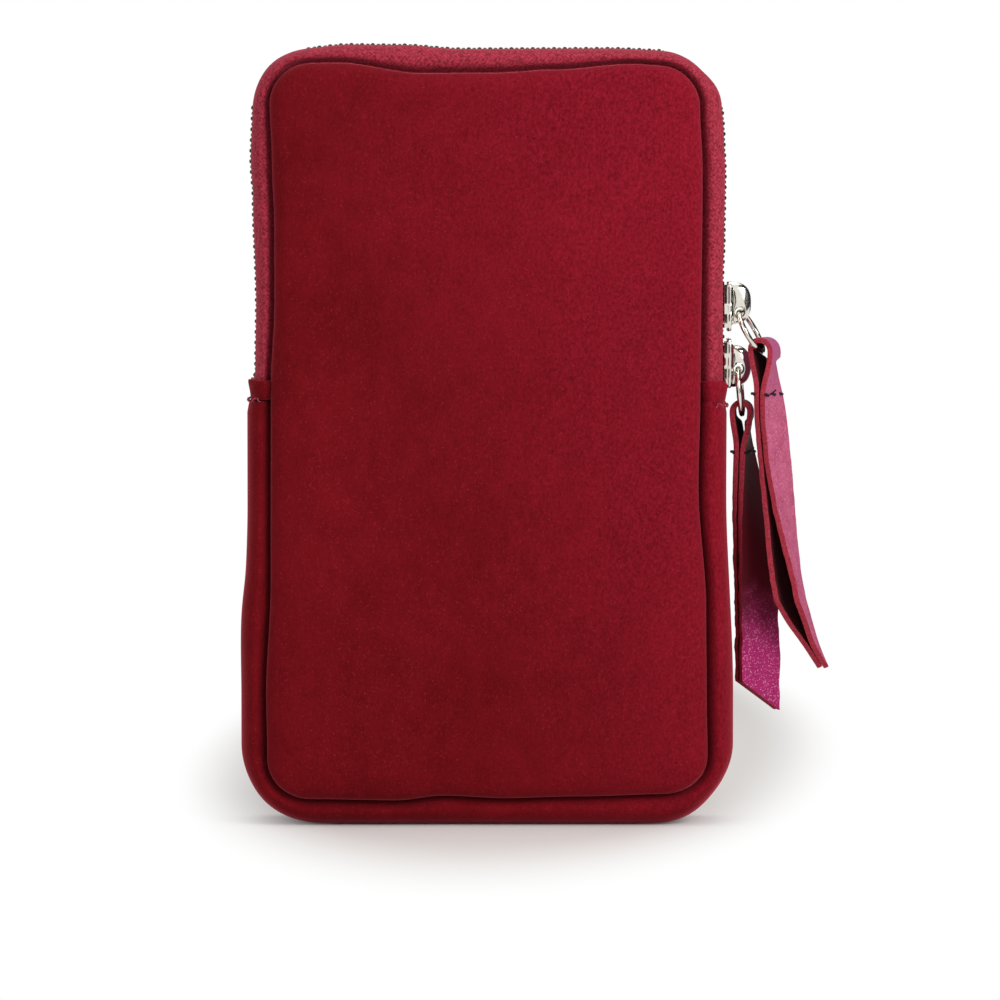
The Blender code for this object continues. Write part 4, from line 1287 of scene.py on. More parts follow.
@dataclass(frozen=True)
class SliderCasting:
    """A zip slider: two plates with side rims, a wedge between them, and a hollow crown.

    It is worked out round its own middle with its head towards -Z, and then put in its place.
    """

    length: float = 11.6 * MM
    tail: float = 4.0 * MM
    head: float = 5.3 * MM
    straight_share: float = 0.42
    shoulder_share: float = 0.68
    notch: float = 0.7 * MM
    notch_width: float = 0.9 * MM
    face: float = 1.6 * MM
    back: float = 2.5 * MM
    dome_rise: float = 0.7 * MM
    edge_round: float = 0.14 * MM
    rim: float = 0.8 * MM
    rim_short: float = 0.9 * MM
    rim_square: float = 0.2
    slot_half: float = 0.8 * MM
    wedge_width: float = 1.4 * MM
    wedge_length: float = 3.0 * MM
    crown_rise: float = 4.7 * MM
    crown_width: float = 3.4 * MM
    crown_tail: float = 5.6 * MM
    crown_head: float = -4.2 * MM
    eye_radius: float = 1.05 * MM
    cheek_power: float = 2.1
    squareness: float = 2.6
    corner_power: float = 7.0

    def half_width(self, along: np.ndarray) -> np.ndarray:
        """Half the plate's width, narrow along the tail and wide at the head."""
        widening = smoothstep(self.straight_share, self.shoulder_share, 0.5 - along / self.length)
        return self.tail + (self.head - self.tail) * widening

    def outline(self, inset: float) -> np.ndarray:
        """The plate's outline, drawn in by a distance.

        At a turn t it lies where |a|^n + |w|^n = 1, with n the corner power, so straight sides meet
        in small round corners. A bell-shaped notch parts the two mouths at the head.

        Args:
            inset: How far the outline is drawn in.

        Returns:
            Pairs of across and along.
        """
        turn, power = full_turn(72), self.corner_power
        reach = (np.abs(np.cos(turn)) ** power + np.abs(np.sin(turn)) ** power) ** (-1 / power)
        along = np.cos(turn) * reach * (self.length / 2 - inset)
        across = np.sin(turn) * reach * (self.half_width(along) - inset)
        bell = np.exp(-((across / self.notch_width) ** 2)) * (along < 0)
        return join(across, along + self.notch * bell)

    def plate(self, way: int) -> Patch:
        """A plate with rounded rims, domed on the crown's side.

        Args:
            way: 1 for the outer plate, -1 for the inner one.

        Returns:
            The closed patch.
        """
        r, face, back = self.edge_round, self.face, self.back
        steps = [(r, face), (0.3 * r, face + 0.3 * r), (0.0, face + r), (0.0, back - r),
                 (0.3 * r, back - 0.3 * r), (r, back)]
        if way > 0:
            top = back + self.dome_rise
            steps += [(1.05 * MM, back + 0.02 * MM), (1.25 * MM, back + 0.16 * MM),
                      (1.5 * MM, top - 0.2 * MM), (1.9 * MM, top - 0.05 * MM), (2.6 * MM, top)]
        rings = []
        for inset, level in steps:
            flat = self.outline(inset)
            rings.append(join(way * level, flat[:, 0], flat[:, 1]))
        return Patch.loft(np.array(rings))

    def rims(self) -> list:
        """The turned-in rims along both sides of both plates.

        Each is a bar whose section is squared by a low power of the sine and cosine, and which
        narrows by about a third at its ends.

        Returns:
            The four closed patches.
        """
        share = np.linspace(-1, 1, 21)[:, None]
        along = share * (self.length / 2 - self.rim_short)
        turn = full_turn(24)
        half_high = (self.face + 0.2 * MM - self.slot_half) / 2
        level = self.slot_half + half_high + half_high * signed_power(np.sin(turn), self.rim_square)
        taper = (1 - share**8) * 0.35 + 0.65
        wide = self.rim / 2 * signed_power(np.cos(turn), self.rim_square) * taper
        across = self.half_width(along) - self.rim / 2 + wide
        ways = ((outer, way) for outer in (-1, 1) for way in (-1, 1))
        return [Patch.loft(join(outer * level, way * across, along)) for outer, way in ways]

    def wedge(self) -> Patch:
        """The post that parts the teeth, pointed towards both ends.

        Returns:
            The closed patch.
        """
        middle = self.wedge_length / 2 - self.length / 2 + self.rim
        turn = full_turn(16)
        across = self.wedge_width / 2 * signed_power(np.sin(turn), 1.3)
        along = middle + self.wedge_length / 2 * signed_power(np.cos(turn), 1.3)
        level = np.array([[-1.0], [1.0]]) * (self.face + self.rim / 2)
        return Patch.loft(join(level, across, along))

    def crown(self, eye: np.ndarray) -> Patch:
        """The hollow hood over the plate, with an eye in each cheek for the ring's wire.

        The hood's outline is a squared arch: height |sin|^(2/n), place |cos|^(2/n). From the eye's
        rim to the outline a cheek falls away by (1 - t^p)^(1/p), with t the share of the way, and
        the hood narrows a little from the plate outwards.

        Args:
            eye: The eye's centre, as height over the slider's middle and place along it.

        Returns:
            The closed patch.
        """
        turn = np.linspace(0, math.pi, 43)
        middle = (self.crown_tail + self.crown_head) / 2
        reach = (self.crown_tail - self.crown_head) / 2
        high = self.back + self.crown_rise * np.abs(np.sin(turn)) ** (2 / self.squareness)
        along = middle + reach * signed_power(np.cos(turn), 2 / self.squareness)
        base = np.linspace(self.crown_head, self.crown_tail, 17)[1:-1]
        outline = np.concatenate([join(high, along), join(self.back - 0.2 * MM, base)])
        rim = eye + self.eye_radius * unit(outline - eye)
        share = 1 - (1 - np.linspace(0, 1, 15)) ** 1.7
        fall = (1 - share**self.cheek_power) ** (1 / self.cheek_power)
        fall[:2] -= np.array([0.30, 0.05])
        flat = rim[:, None] + (outline - rim)[:, None] * share[None, :, None]
        narrowing = 1.12 - 0.34 * (flat[..., 0] - self.back) / self.crown_rise
        across = self.crown_width / 2 * fall[None, :] * narrowing
        near = join(flat[..., 0], across, flat[..., 1])
        far = near[:, -2::-1] * np.array([1.0, -1.0, 1.0])
        return Patch.loft(np.concatenate([near, far], axis=1), looped=True)

    def patches(self, place: np.ndarray, flipped: bool, wire: np.ndarray) -> list:
        """Every part of the casting in its place.

        Args:
            place: Where the casting's middle lies.
            flipped: Whether its head is up.
            wire: Where the ring's wire passes through the crown.

        Returns:
            The patches.
        """
        turn = np.array([1.0, -1.0, -1.0]) if flipped else np.ones(3)
        eye = ((wire - place) * turn)[[0, 2]]
        parts = [self.plate(1), self.plate(-1), *self.rims(), self.wedge(), self.crown(eye)]
        return [Patch(part.points * turn + place, part.blocks, part.uv) for part in parts]


@dataclass
class Zip(SubAssembly):
    """Two woven tapes with corded edges, and a row of stamped teeth on each."""

    drift: SeamDrift
    slider: SliderCasting
    pitch: float = 2.45 * MM
    tooth_half: float = 0.61 * MM
    tooth_lift: float = 1.02 * MM
    tooth_back: float = 2.8 * MM
    tooth_reach: float = 0.72 * MM
    tooth_square: float = 0.8
    cord_middle: float = 2.0 * MM
    cord_radii: tuple = (1.15 * MM, 0.62 * MM)
    edge: float = 3.1 * MM
    edge_fade: float = 6.6 * MM
    spread: float = 1.4 * MM
    sliders_apart: float = 1.5 * MM
    corner_sink: tuple = (0.75 * MM, 0.45 * MM)
    corner_ramp: float = 0.28
    seam_allowance: tuple = ((-0.36, 0.95), (-0.20, 0.83))
    profile_shares: tuple = (
        (-0.06, 0.74), (0.06, 0.78), (0.16, 0.85), (0.32, 0.94), (0.58, 0.935), (0.86, 0.80),
        (1.03, 0.65), (1.04, 0.54), (1.0, 0.44), (0.98, 0.34), (0.98, 0.2672),
    )

    @property
    def side_run(self) -> float:
        """The length of the chain's straight side."""
        return self.sizes.tape.high - self.sizes.tape.corner - self.sizes.zip_end

    @property
    def length(self) -> float:
        """The chain's length from end to end: two sides, two quarter circles and the top."""
        tape = self.sizes.tape
        return 2 * self.side_run + tape.corner * math.pi + 2 * (tape.half_width - tape.corner)

    def parting(self, z: np.ndarray) -> np.ndarray:
        """How far the sliders' wedges push each row aside.

        Args:
            z: Heights on the right side.

        Returns:
            The whole spread between the sliders' shoulders, and a share of it that falls evenly
            to nothing where their tails run straight.
        """
        full, shut = (
            self.sliders_apart / 2 + self.slider.length * (1 - share)
            for share in (self.slider.shoulder_share, self.slider.straight_share))
        share = (np.abs(z - self.sizes.sliders_meet) - full) / (shut - full)
        return self.spread * (1 - np.clip(share, 0, 1))

    def tape_grid(self, side: Side) -> np.ndarray:
        """One tape's outer surface, which moves aside with its teeth by the sliders.

        It runs up the right side from the zip's end, over the top and down the left.

        Args:
            side: The front or the back.

        Returns:
            The grid, from the seam to the edge by the teeth.
        """
        panel, tape = self.sizes.panel, self.sizes.tape
        heights = np.linspace(self.sizes.zip_end, tape.high - tape.corner, 72)[:-1]
        up = Route.side(panel, tape.half_width, heights)
        route = up.then(Route.end(panel, tape, 1, 26, 36)).and_back()
        grid = route.band(
            spline(self.seam_allowance + self.profile_shares, 38), self.sizes.seam_half)
        by_teeth = 1 - smoothstep(self.edge, self.edge_fade, grid[..., 1])
        grid[..., 1] += self.parting(grid[..., 2]) * by_teeth * (grid[..., 0] > 0)
        grid = self.drift.apply(grid)
        grid[..., 1] *= side.value
        out = unit((grid - self.sizes.heart) * np.array([1.0, 0.0, 1.0]))
        return grid + out * self.sizes.tape_thickness / 2

    def chain_places(self, s: np.ndarray) -> tuple:
        """Points and outward normals on the chain's path.

        The path is a straight side, a quarter circle and half the top, and its mirror image. Round
        a corner the tape bulges over the chain, which sinks by a share that rises and falls.

        Args:
            s: Distances along the path from its right end.

        Returns:
            The points' x and z, and the normals' x and z.
        """
        tape = self.sizes.tape
        mirrored = s > self.length / 2
        s = np.where(mirrored, self.length - s, s)
        quarter = math.pi / 2
        turn = np.clip((s - self.side_run) / tape.corner, 0, quarter)
        normal = join(np.cos(turn), np.sin(turn))
        centre = np.array([tape.half_width - tape.corner, tape.high - tape.corner])
        rising = smoothstep(0.0, self.corner_ramp, turn)
        falling = 1 - smoothstep(quarter - self.corner_ramp, quarter, turn)
        right_sink, left_sink = self.corner_sink
        sunk = rising * falling * np.where(mirrored, left_sink, right_sink)
        point = centre + (tape.corner - sunk)[..., None] * normal
        point[..., 1] += np.minimum(s - self.side_run, 0)
        point[..., 0] -= np.maximum(s - self.side_run - tape.corner * quarter, 0)
        flip = np.where(mirrored, -1.0, 1.0)
        point[..., 0] *= flip
        normal[..., 0] *= flip
        return point, normal

    def along_chain(
            self, s: np.ndarray, across: np.ndarray, lift: np.ndarray, side: Side) -> np.ndarray:
        """Points round the chain.

        Args:
            s: Their distances along it.
            across: How far they lie from its plane.
            lift: How far out of it they lie.
            side: The front or the back.

        Returns:
            The points, moved with the parted rows and with the drift.
        """
        point, normal = self.chain_places(s)
        aside = np.where(point[..., 0] > 0, self.parting(point[..., 1]), 0.0)
        flat = point + normal * lift[..., None]
        return self.drift.apply(join(flat[..., 0], side.value * (across + aside), flat[..., 1]))

    def teeth(self, side: Side, phase: float) -> Patch:
        """A row of stamped teeth.

        Each tooth is a run of squared rings from its legs to its rounded head. A ring's point at a
        turn is its half length times |cos|^0.8 and its half height times |sin|^0.8.

        Args:
            side: The front or the back.
            phase: Where the first tooth lies, as a share of the pitch.

        Returns:
            The patch with every tooth.
        """
        count = int(self.length / self.pitch) + 1
        places = (np.arange(count) + phase) * self.pitch
        places = places[(places > self.pitch / 2) & (places < self.length - self.pitch / 2)]
        back, reach = self.tooth_back, self.tooth_reach
        stations = np.array([
            (back, 0.55, 0.55), (back - 0.12 * MM, 0.92, 0.86), (back - 0.5 * MM, 1.0, 1.0),
            (back / 2, 0.98, 1.0), (back / 4, 0.90, 0.96), (reach / 2, 0.98, 0.90),
            (-reach / 2, 0.97, 0.78), (-reach, 0.70, 0.50),
        ])
        turn = full_turn(10) + 0.2
        ring_along = signed_power(np.cos(turn), self.tooth_square) * self.tooth_half
        ring_lift = signed_power(np.sin(turn), self.tooth_square) * self.tooth_lift
        s = places[:, None, None] + stations[None, :, 1:2] * ring_along
        points = self.along_chain(
            s, stations[None, :, :1], stations[None, :, 2:3] * ring_lift, side)
        rows, columns = len(stations), len(turn)
        one = grid_faces(rows, columns, wrap=True)
        start = (np.arange(len(places)) * rows * columns)[:, None, None]
        cap = np.arange(columns)[None, None, :]
        caps = np.concatenate([start + cap[..., ::-1], start + cap + (rows - 1) * columns])
        blocks = [((start + one[None]).reshape(-1, 4), 0), (caps.reshape(-1, columns), 0)]
        return Patch(points.reshape(-1, 3), blocks, np.zeros((points.size // 3, 2)))

    def cord(self, side: Side) -> Patch:
        """The cord along a tape's edge that the teeth are clenched on.

        Args:
            side: The front or the back.

        Returns:
            The closed patch, a flattened circle carried along the chain.
        """
        turn = full_turn(8)[None, :]
        wide, high = self.cord_radii
        across = self.cord_middle + wide * np.cos(turn)
        s = np.linspace(0, self.length, 330)[:, None]
        return Patch.loft(self.along_chain(s, across, high * np.sin(turn), side))

    def tab_path(self) -> np.ndarray:
        """The tape's section at the zip's end, which the tabs follow.

        Returns:
            Its x and y, from the front seam to the back seam.
        """
        half = spline(self.profile_shares, 30)
        out = self.sizes.tape.half_width - self.sizes.panel.half_width
        x = self.sizes.panel.half_width + out * np.minimum(half[:, 0], 1.04)
        front = join(x, -half[:, 1] * self.sizes.seam_half)
        return np.concatenate([front, front[::-1] * FLIP_LAST])[1:-1]

    def build(self) -> None:
        """Make both tapes and both rows of teeth."""
        ends = ("end_left", "end_right")
        rows = (
            (Side.FRONT, ends, "mouth", 1.0),
            (Side.BACK, (), "pouch", 0.5))
        for side, extra, body, phase in rows:
            name = side.name.lower()
            patch = Patch.shell(self.tape_grid(side), self.sizes.tape_thickness, self.sizes.heart)
            tape = make_piece(f"{name}_tape_weave", [patch, self.cord(side)], [self.palette.tape])
            row = self.teeth(side, phase)
            teeth = make_piece(f"{name}_teeth_row", [row], [self.palette.teeth], sharp=50.0)
            kinds = ((tape, "zip_tape_cloth", "tape"), (teeth, "tooth_metal", "teeth"))
            for piece, slot, kind in kinds:
                nodes = (f"{name}_zip_{kind}", *(f"{name}_{kind}_{end}" for end in extra))
                self.attach(piece, slot, nodes, body)
            below = (f"{name}_panel_skin",)
            self.declare(tape, patch, "stretched", below, with_pieces=(teeth,))


@dataclass
class WireRing:
    """A round ring of nickel-plated wire, leaning out and turned a little."""

    centre: np.ndarray
    lean: float
    turn: float
    radius: float = 5.25 * MM
    wire: float = 1.3 * MM

    def patch(self) -> Patch:
        """A torus: the wire's circle carried round the ring's own circle.

        Returns:
            The closed patch.
        """
        ring, wire = full_turn(72)[:, None], full_turn(16)[None, :]
        reach = self.radius + self.wire / 2 * np.cos(wire)
        points = join(reach * np.cos(ring), reach * np.sin(ring), self.wire / 2 * np.sin(wire))
        angles = (math.radians(self.turn), math.radians(90 - self.lean), 0)
        spin = np.array(Euler(angles).to_matrix())
        return Patch.loft(points @ spin.T + self.centre, looped=True)

    def foot(self) -> np.ndarray:
        """The middle of the ring's lower side."""
        lean = math.radians(self.lean)
        return self.centre + self.radius * np.array([math.sin(lean), 0.0, -math.cos(lean)])

    def top(self) -> np.ndarray:
        """The middle of the ring's upper side."""
        return 2 * self.centre - self.foot()


@dataclass
class Pull:
    """A strip of leather folded over a ring and stitched below it.

    Its two layers hang from the stitch, twist as they fall, part a little and end in a slanted cut.
    """

    foot: np.ndarray
    length: float
    cut: float
    lean: float
    sweep: float
    swing: float
    spread: float
    first_turn: float
    last_turn: float
    eye_width: float
    eye_shift: float
    aside: float
    belly: float
    stitch_drop: float
    gap_power: float
    seed: int
    thickness: float = 1.25 * MM
    width: float = 10.4 * MM
    fold_width: float = 7.0 * MM
    fold_room: float = 1.4 * MM
    wire: float = 1.3 * MM
    layer_gap: float = 0.3 * MM
    twist_end_share: float = 0.60
    pinch_share: float = 0.95
    ragged: float = 0.04
    edge_bulge: float = 0.10 * MM
    sunk: float = -0.3 * MM
    proud: float = 0.15 * MM
    columns: int = 13

    @property
    def eye(self) -> float:
        """How far the leather's middle lies from the fold's centre."""
        return (self.eye_width + self.thickness) / 2

    def fold(self) -> np.ndarray:
        """The top of the fold, at the strip's middle."""
        rise = self.wire / 2 + self.fold_room + self.thickness / 2
        return self.foot + np.array([0.0, 0.0, rise])

    def past_stitch(self, drop: np.ndarray) -> np.ndarray:
        """The share of the way from the stitch to the end, nothing above the stitch."""
        return np.maximum(drop - self.stitch_drop, 0) / (self.length - self.stitch_drop)

    def turn(self, share: np.ndarray) -> np.ndarray:
        """The strip's angle in degrees.

        Args:
            share: Shares of the strip's length.

        Returns:
            A smoothstep from the first angle to the last, less a bell-shaped share of the belly.
        """
        eased = smoothstep(0.0, self.twist_end_share, share)
        bell = smoothstep(0.05, 0.26, share) * (1 - smoothstep(0.34, 0.75, share))
        return self.first_turn + (self.last_turn - self.first_turn) * eased - self.belly * bell

    def surface(self, drop: np.ndarray, layer: np.ndarray, edge: np.ndarray) -> np.ndarray:
        """The middle of the leather.

        A layer lies half the eye's width from the middle on a round fold and closes to the stitch
        by half a cosine. It parts below it by the square of a sine, whose peak a power moves
        down. Below the ring the far edges are pinched together, so both gaps look dark from the
        front. The middle swings with the twist, leans in proportion to the drop and sweeps with
        its fifth power.

        Args:
            drop: How far below the fold each point hangs.
            layer: -1 for the inner layer, 1 for the outer one.
            edge: The place across the strip, from -1 to 1.

        Returns:
            The points.
        """
        share = drop / self.length
        eased = smoothstep(0.0, self.twist_end_share, share)
        turn = np.radians(self.turn(share))
        eye, shut = self.eye, (self.layer_gap + self.thickness) / 2
        below = self.spread / 2 * np.sin(math.pi * self.past_stitch(drop) ** self.gap_power) ** 2
        closing = np.clip((drop - eye) / (self.stitch_drop - eye), 0, 1)
        pinched = smoothstep(-0.4, 0.9, edge) * smoothstep(3.6 * MM, 5.0 * MM, drop)
        open_share = (1 + np.cos(math.pi * closing)) / 2
        apart = shut + ((eye - shut) * open_share + below) * (1 - self.pinch_share * pinched)
        in_fold = np.sqrt(np.maximum(eye**2 - (eye - drop) ** 2, 0))
        apart = np.where(drop < eye, in_fold, apart)
        widths = (self.fold_width, self.fold_width, self.width)
        out = edge * np.interp(drop, (0, eye, self.stitch_drop), widths) / 2
        fold = self.fold()
        x = fold[0] + self.eye_shift + self.swing * eased + self.lean * share + self.sweep * share**5
        y = fold[1] + self.aside * np.minimum(drop / self.stitch_drop, 1)
        x = x + np.cos(turn) * out + np.sin(turn) * layer * apart
        y = y + np.sin(turn) * out - np.cos(turn) * layer * apart
        return join(x, y, fold[2] - drop)

    def middle(self) -> np.ndarray:
        """The strip's middle surface, with its slanted cut and slightly ragged edges.

        Returns:
            The grid, from one end over the fold to the other.
        """
        fold = self.eye * (1 - np.cos(np.linspace(0, math.pi / 2, 9)[1:]))
        neck = np.linspace(self.eye, self.stitch_drop, 15)[1:]
        tail = np.linspace(self.stitch_drop, self.length, 62)[1:]
        drops = np.concatenate([fold, neck, tail])
        layers = np.ones(len(drops))
        drop = np.concatenate([drops[::-1], [0.0], drops])
        layer = np.concatenate([-layers, [0.0], layers])
        edge = np.linspace(-1, 1, self.columns)[None, :]
        past = self.past_stitch(drop)
        short = self.cut * (1 - edge) / 2 * past[:, None]
        random = np.random.default_rng(self.seed)
        ragged = np.zeros((len(drop), self.columns))
        for column in (0, -1):
            rough = random.normal(0, 1, len(drop))
            ragged[:, column] = np.convolve(rough, np.ones(3) / 3, mode="same")
        ragged = ragged * self.ragged * smoothstep(0.0, 0.3, past)[:, None]
        return self.surface(drop[:, None] - short, layer[:, None], edge + ragged)

    def patch(self) -> Patch:
        """The closed strip: foil on its outside, flesh on its inside and raw cut edges.

        Returns:
            The patch, with finish 0 for foil, 1 for flesh and 2 for the cut edges.
        """
        middle = self.middle()
        rows, columns = middle.shape[:2]
        out = grid_normals(middle) * self.thickness / 2
        bulge = (unit(middle[:, -1] - middle[:, 0]) * self.edge_bulge)[:, None]
        rings = np.concatenate([
            middle + out, middle[:, -1:] + bulge, (middle - out)[:, ::-1], middle[:, :1] - bulge],
            axis=1)
        far, near, total = columns, 2 * columns + 1, 2 * columns + 2
        faces = grid_faces(rows, total, wrap=True).reshape(rows - 1, total, 4)
        number = np.arange(columns)
        ends, corners = [], []
        for start in (0, (rows - 1) * total):
            top, under = start + number, start + 2 * columns - number
            ends.append(join(top[:-1], top[1:], under[1:], under[:-1]))
            corners += [(top[-1], start + far, under[-1]), (top[0], start + near, under[0])]
        blocks = [
            (faces[:, : far - 1].reshape(-1, 4), 0),
            (faces[:, far + 1 : near - 1].reshape(-1, 4), 1),
            (faces[:, [far - 1, far, near - 1, near]].reshape(-1, 4), 2),
            (np.concatenate(ends), 2),
            (np.array(corners), 2),
        ]
        return Patch(rings.reshape(-1, 3), blocks, surface_metres(rings))

    def on_face(self, drop: float, layer: int, edge: float, lift: float) -> np.ndarray:
        """A point on the strip's outer face, lifted off it.

        Args:
            drop: How far below the fold it lies.
            layer: -1 for the inner layer, 1 for the outer one.
            edge: The place across the strip, from -1 to 1.
            lift: How far off the face it lies.

        Returns:
            The point.
        """
        here = self.surface(np.array(drop), np.array(layer), np.array(edge))
        turn = math.radians(self.turn(np.array(drop / self.length)))
        outward = np.array([math.sin(turn), -math.cos(turn), 0.0]) * layer
        return here + outward * (self.thickness / 2 + lift)

    def threads(self) -> list:
        """The waxed stitch through both layers, with its short loose ends.

        Returns:
            The threads' patches, in finish 3.
        """
        drop, made = self.stitch_drop, []
        for layer in (-1, 1):
            for first, last in ((-0.98, -0.72), (-0.22, 0.12), (0.62, 0.95)):
                knots = [
                    self.on_face(drop, layer, first, self.sunk),
                    self.on_face(drop - 0.1 * MM, layer, first + 0.06, self.proud),
                    self.on_face(drop + 0.1 * MM, layer, last - 0.06, self.proud),
                    self.on_face(drop, layer, last, self.sunk),
                ]
                made.append(Patch.thread(knots, 0.34 * MM, 9, 6, 3))
            start = self.on_face(drop, layer, -0.95, self.sunk)
            out = np.array([layer * 1.1, -0.5, -0.30 * layer]) * MM
            curl = np.array([0.0, -0.1, 0.15]) * MM
            knots = [start, start + out / 2 + curl, start + out]
            made.append(Patch.thread(knots, 0.36 * MM, 9, 6, 3))
        start = self.on_face(drop, 1, -0.5, 0.0)
        steps = np.array([(0.5, -0.3, 0.3), (1.0, -0.5, 0.7), (1.5, -0.6, 1.2)]) * MM
        made.append(Patch.thread([start, *(start + steps)], 0.2 * MM, 12, 5, 3))
        return made


@dataclass
class SliderSet(SubAssembly):
    """Both sliders, and on each a ring and a leather pull."""

    casting: SliderCasting
    ring_angles: tuple = (("upper", 30.0, 13.0), ("lower", 5.0, 5.0))

    def pulls(self, feet: dict) -> dict:
        """Both pulls, each with its own way of hanging.

        Args:
            feet: Where each hangs on its ring, by the slider's name.

        Returns:
            The pulls, by the slider's name.
        """
        return {
            "upper": Pull(
                foot=feet["upper"], length=76.0 * MM, cut=16.0 * MM, lean=5.6 * MM, sweep=6.0 * MM,
                swing=0.8 * MM, spread=3.4 * MM, first_turn=72.0, last_turn=70.0,
                eye_width=3.4 * MM, eye_shift=0.3 * MM, aside=-2.4 * MM, belly=13.0,
                stitch_drop=12.5 * MM, gap_power=2.0, seed=5),
            "lower": Pull(
                foot=feet["lower"], length=71.6 * MM, cut=7.0 * MM, lean=0.6 * MM, sweep=0.1 * MM,
                swing=3.3 * MM, spread=0.4 * MM, first_turn=85.0, last_turn=31.0,
                eye_width=2.8 * MM, eye_shift=-0.1 * MM, aside=2.4 * MM, belly=0.0,
                stitch_drop=11.6 * MM, gap_power=1.0, seed=9),
        }

    def build(self) -> None:
        """Make the castings, the rings and the pulls."""
        feet = {}
        for part, lean, turn in self.ring_angles:
            low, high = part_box(f"{part}_ring")
            ring = WireRing(np.array((low + high) / 2), lean, turn)
            feet[part] = ring.foot()
            low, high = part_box(f"{part}_slider")
            place = np.array([self.sizes.tape.half_width, 0.0, (low.z + high.z) / 2])
            patches = self.casting.patches(place, part == "lower", ring.top())
            nickel = [self.palette.nickel]
            casting = make_piece(f"{part}_slider_casting", patches, nickel, sharp=38.0)
            wire = make_piece(f"{part}_ring_wire", [ring.patch()], nickel)
            for piece, node in ((casting, f"{part}_slider"), (wire, f"{part}_ring")):
                self.attach(piece, "slider_nickel", (node,), node)
        for part, strip in self.pulls(feet).items():
            foil = getattr(self.palette, f"{part}_foil")
            finishes = [foil, self.palette.flesh, self.palette.cut_edge, self.palette.black_thread]
            patches = [strip.patch(), *strip.threads()]
            piece = make_piece(f"{part}_pull_strip", patches, finishes, sharp=55.0)
            self.attach(piece, "pull_leather", (f"{part}_pull",), f"{part}_pull")


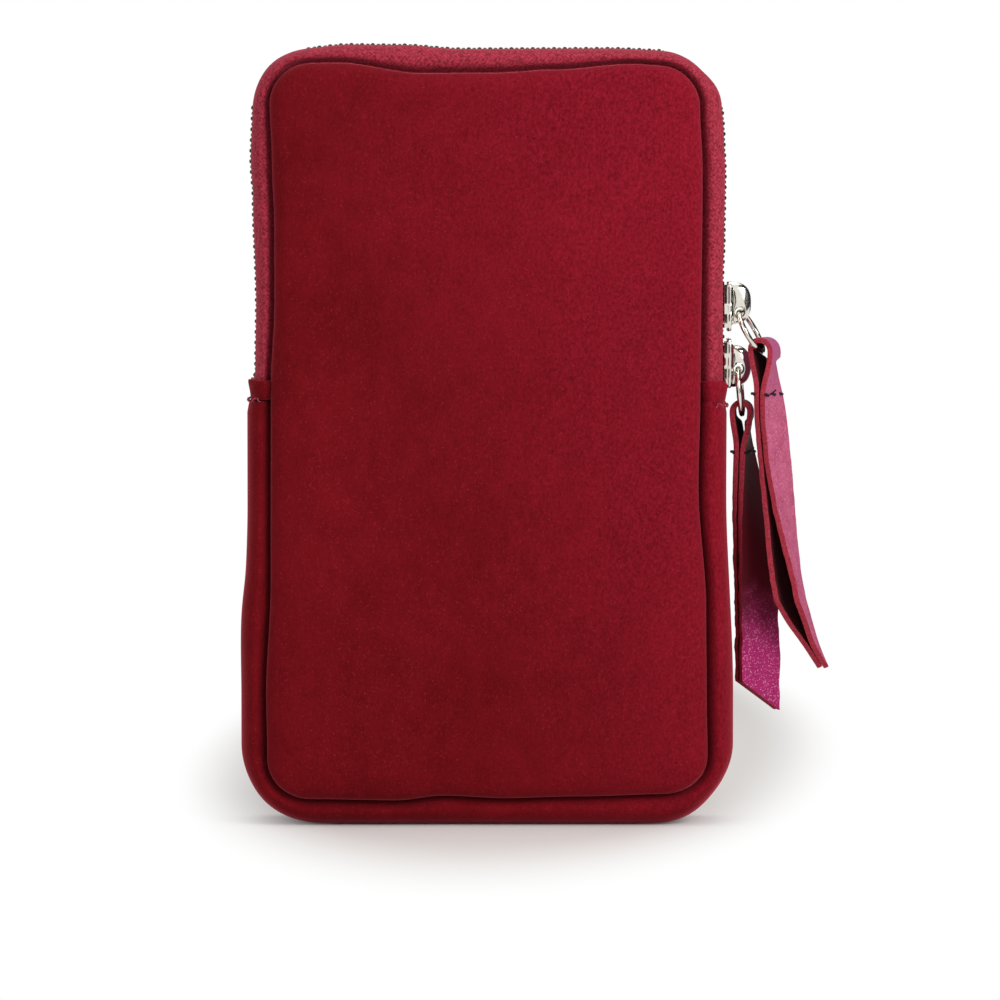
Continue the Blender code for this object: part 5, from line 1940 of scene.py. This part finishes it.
@dataclass
class Studio:
    """A pale floor, a plain white surround, soft lamps and the camera at the photograph's angle."""

    aim: tuple = (2.8 * MM, 0.0, 74.4 * MM)
    distance: float = 1.284
    elevation: float = 3.0
    lens: float = 200.0
    sensor: float = 36.0
    lamp_aim: tuple = (0.0, 0.0, 0.09)
    sky: float = 0.42
    floor_reach: float = 4.0
    pool_middle: tuple = (0.008, 0.20)
    pool_reach: tuple = (0.087, 0.35)
    pool_turn: float = math.radians(-2.3)
    pool_core_share: float = 0.7
    lamps: tuple = (
        ("key_right", (0.58, -0.50, 0.46), 0.50, 4.6),
        ("fill_left", (-0.75, -0.70, 0.45), 0.70, 2.1),
        ("top", (0.0, 0.0, 1.1), 0.80, 3.6))
    cards: tuple = (
        ("card_by_camera", (-0.20, -1.0), (0.20, -1.0), -0.3, 0.6),
        ("card_right", (0.48, -0.76), (0.80, 0.28), 0.1, 1.3),
        ("card_behind_right", (0.80, 0.30), (0.25, 0.95), -0.3, 1.3))

    def point(self, thing: Piece, place: tuple, target: tuple) -> None:
        """Put a camera or a lamp in a place and point it at a target."""
        thing.location = place
        thing.rotation_euler = (Vector(target) - Vector(place)).to_track_quat("-Z", "Y").to_euler()

    def add_camera(self) -> None:
        """Put the camera straight in front, a little above the pouch's middle."""
        tilt = math.radians(self.elevation)
        data = bpy.data.cameras.new("camera")
        data.lens, data.sensor_width = self.lens, self.sensor
        data.clip_start = 0.01
        camera = link("camera", data)
        back = self.distance * Vector((0.0, -math.cos(tilt), math.sin(tilt)))
        self.point(camera, Vector(self.aim) + back, self.aim)
        bpy.context.scene.camera = camera

    def add_lamps(self) -> None:
        """Add square soft lamps, each with a place, the length of its side and its watts."""
        for name, place, size, watts in self.lamps:
            data = bpy.data.lights.new(name, "AREA")
            data.shape, data.size, data.energy = "SQUARE", size, watts
            self.point(link(name, data), place, self.lamp_aim)

    def seen_directly(self, board: Board) -> Socket:
        """Tell what is seen, also in metal and through glass, from what only gives light.

        Args:
            board: The nodes to add it to.

        Returns:
            One for what is seen, and nothing for light.
        """
        rays = board.add("LightPath").node.outputs
        seen = rays["Is Camera Ray"]
        for name in ("Is Glossy Ray", "Is Transmission Ray"):
            seen = board.add("Math", {"operation": "MAXIMUM", 0: seen, 1: rays[name]})
        return seen

    def add_world(self) -> None:
        """A white surround, dimmer as light than it looks."""
        world = bpy.data.worlds.new("white_surround")
        world.use_nodes = True
        board = Board(world.node_tree)
        dim = board.tree.nodes["Background"]
        board.fill(dim, {"Color": WHITE, "Strength": self.sky})
        white = board.add("Background", {"Color": WHITE, "Strength": 1.0})
        seen = self.seen_directly(board)
        mixed = board.add("MixShader", {0: seen, 1: dim.outputs[0], 2: white})
        board.fill(board.tree.nodes["World Output"], {"Surface": mixed})
        bpy.context.scene.world = world

    def add_sheet(self, name: str, corners: list, finish: Material) -> Piece:
        """Add a flat sheet that isn't part of the pouch.

        Args:
            name: Its name.
            corners: Its four corners, in order.
            finish: Its material.

        Returns:
            The sheet.
        """
        mesh = bpy.data.meshes.new(name)
        mesh.from_pydata(corners, [], [(0, 1, 2, 3)])
        mesh.materials.append(finish)
        sheet = link(name, mesh)
        return sheet

    def add_floor(self) -> None:
        """A pale floor that keeps the pouch's shadow and turns plain white away from it."""
        made = MattCard("matt_white_card", "#e2dfdc", 1.0, 0.0).build()
        board = Board(made.node_tree)
        glow = board.add("Emission", {"Color": WHITE, "Strength": 1.0})
        place = board.add("TexCoord", {}, "Object")
        pool = board.add("Mapping", {
            "vector_type": "TEXTURE", "Vector": place, "Location": (*self.pool_middle, 0.0),
            "Rotation": (0.0, 0.0, self.pool_turn), "Scale": (*self.pool_reach, 1.0)})
        distance = board.add("VectorMath", {"operation": "LENGTH", 0: pool}, "Value")
        rising = board.add("MapRange", {
            "interpolation_type": "SMOOTHSTEP", "Value": distance,
            "From Min": self.pool_core_share, "From Max": 1.0})
        share = board.add(
            "Math", {"operation": "MULTIPLY", 0: self.seen_directly(board), 1: rising})
        card = board.tree.nodes["Principled BSDF"].outputs[0]
        mixed = board.add("MixShader", {0: share, 1: card, 2: glow})
        board.fill(board.tree.nodes["Material Output"], {"Surface": mixed})
        reach = self.floor_reach
        corners = [(x * reach, y * reach, 0.0) for x, y in ((-1, -1), (1, -1), (1, 1), (-1, 1))]
        self.add_sheet("floor", corners, made)

    def add_cards(self) -> None:
        """Dark cards out of view, which only metal sees, so that its edges read against white."""
        made = MattCard("black_card", "#1a1817", 0.9, 0.5).build()
        for name, first, last, low, high in self.cards:
            corners = [(*first, low), (*last, low), (*last, high), (*first, high)]
            card = self.add_sheet(name, corners, made)
            card.visible_camera = card.visible_diffuse = card.visible_shadow = False

    def build(self) -> None:
        """Set the view's colours and add the camera, the surround, the floor and the lamps."""
        bpy.context.scene.view_settings.view_transform = "Standard"
        self.add_camera()
        self.add_world()
        self.add_floor()
        self.add_cards()
        self.add_lamps()


def main() -> None:
    """Build the studio and every piece of the pouch."""
    logging.basicConfig(level=logging.INFO, format="%(name)s %(message)s")
    Studio().build()
    sizes, palette, casting = Sizes.from_frame(), Palette(), SliderCasting()
    drift = SeamDrift(sizes)
    LOG.info("panels")
    Panels(sizes, palette, drift).build()
    LOG.info("zip")
    chain = Zip(sizes, palette, drift, casting)
    chain.build()
    LOG.info("gusset and tabs")
    Gusset(sizes, palette, drift).build(chain.tab_path())
    LOG.info("sliders and pulls")
    SliderSet(sizes, palette, casting).build()


if __name__ == "__main__":
    main()
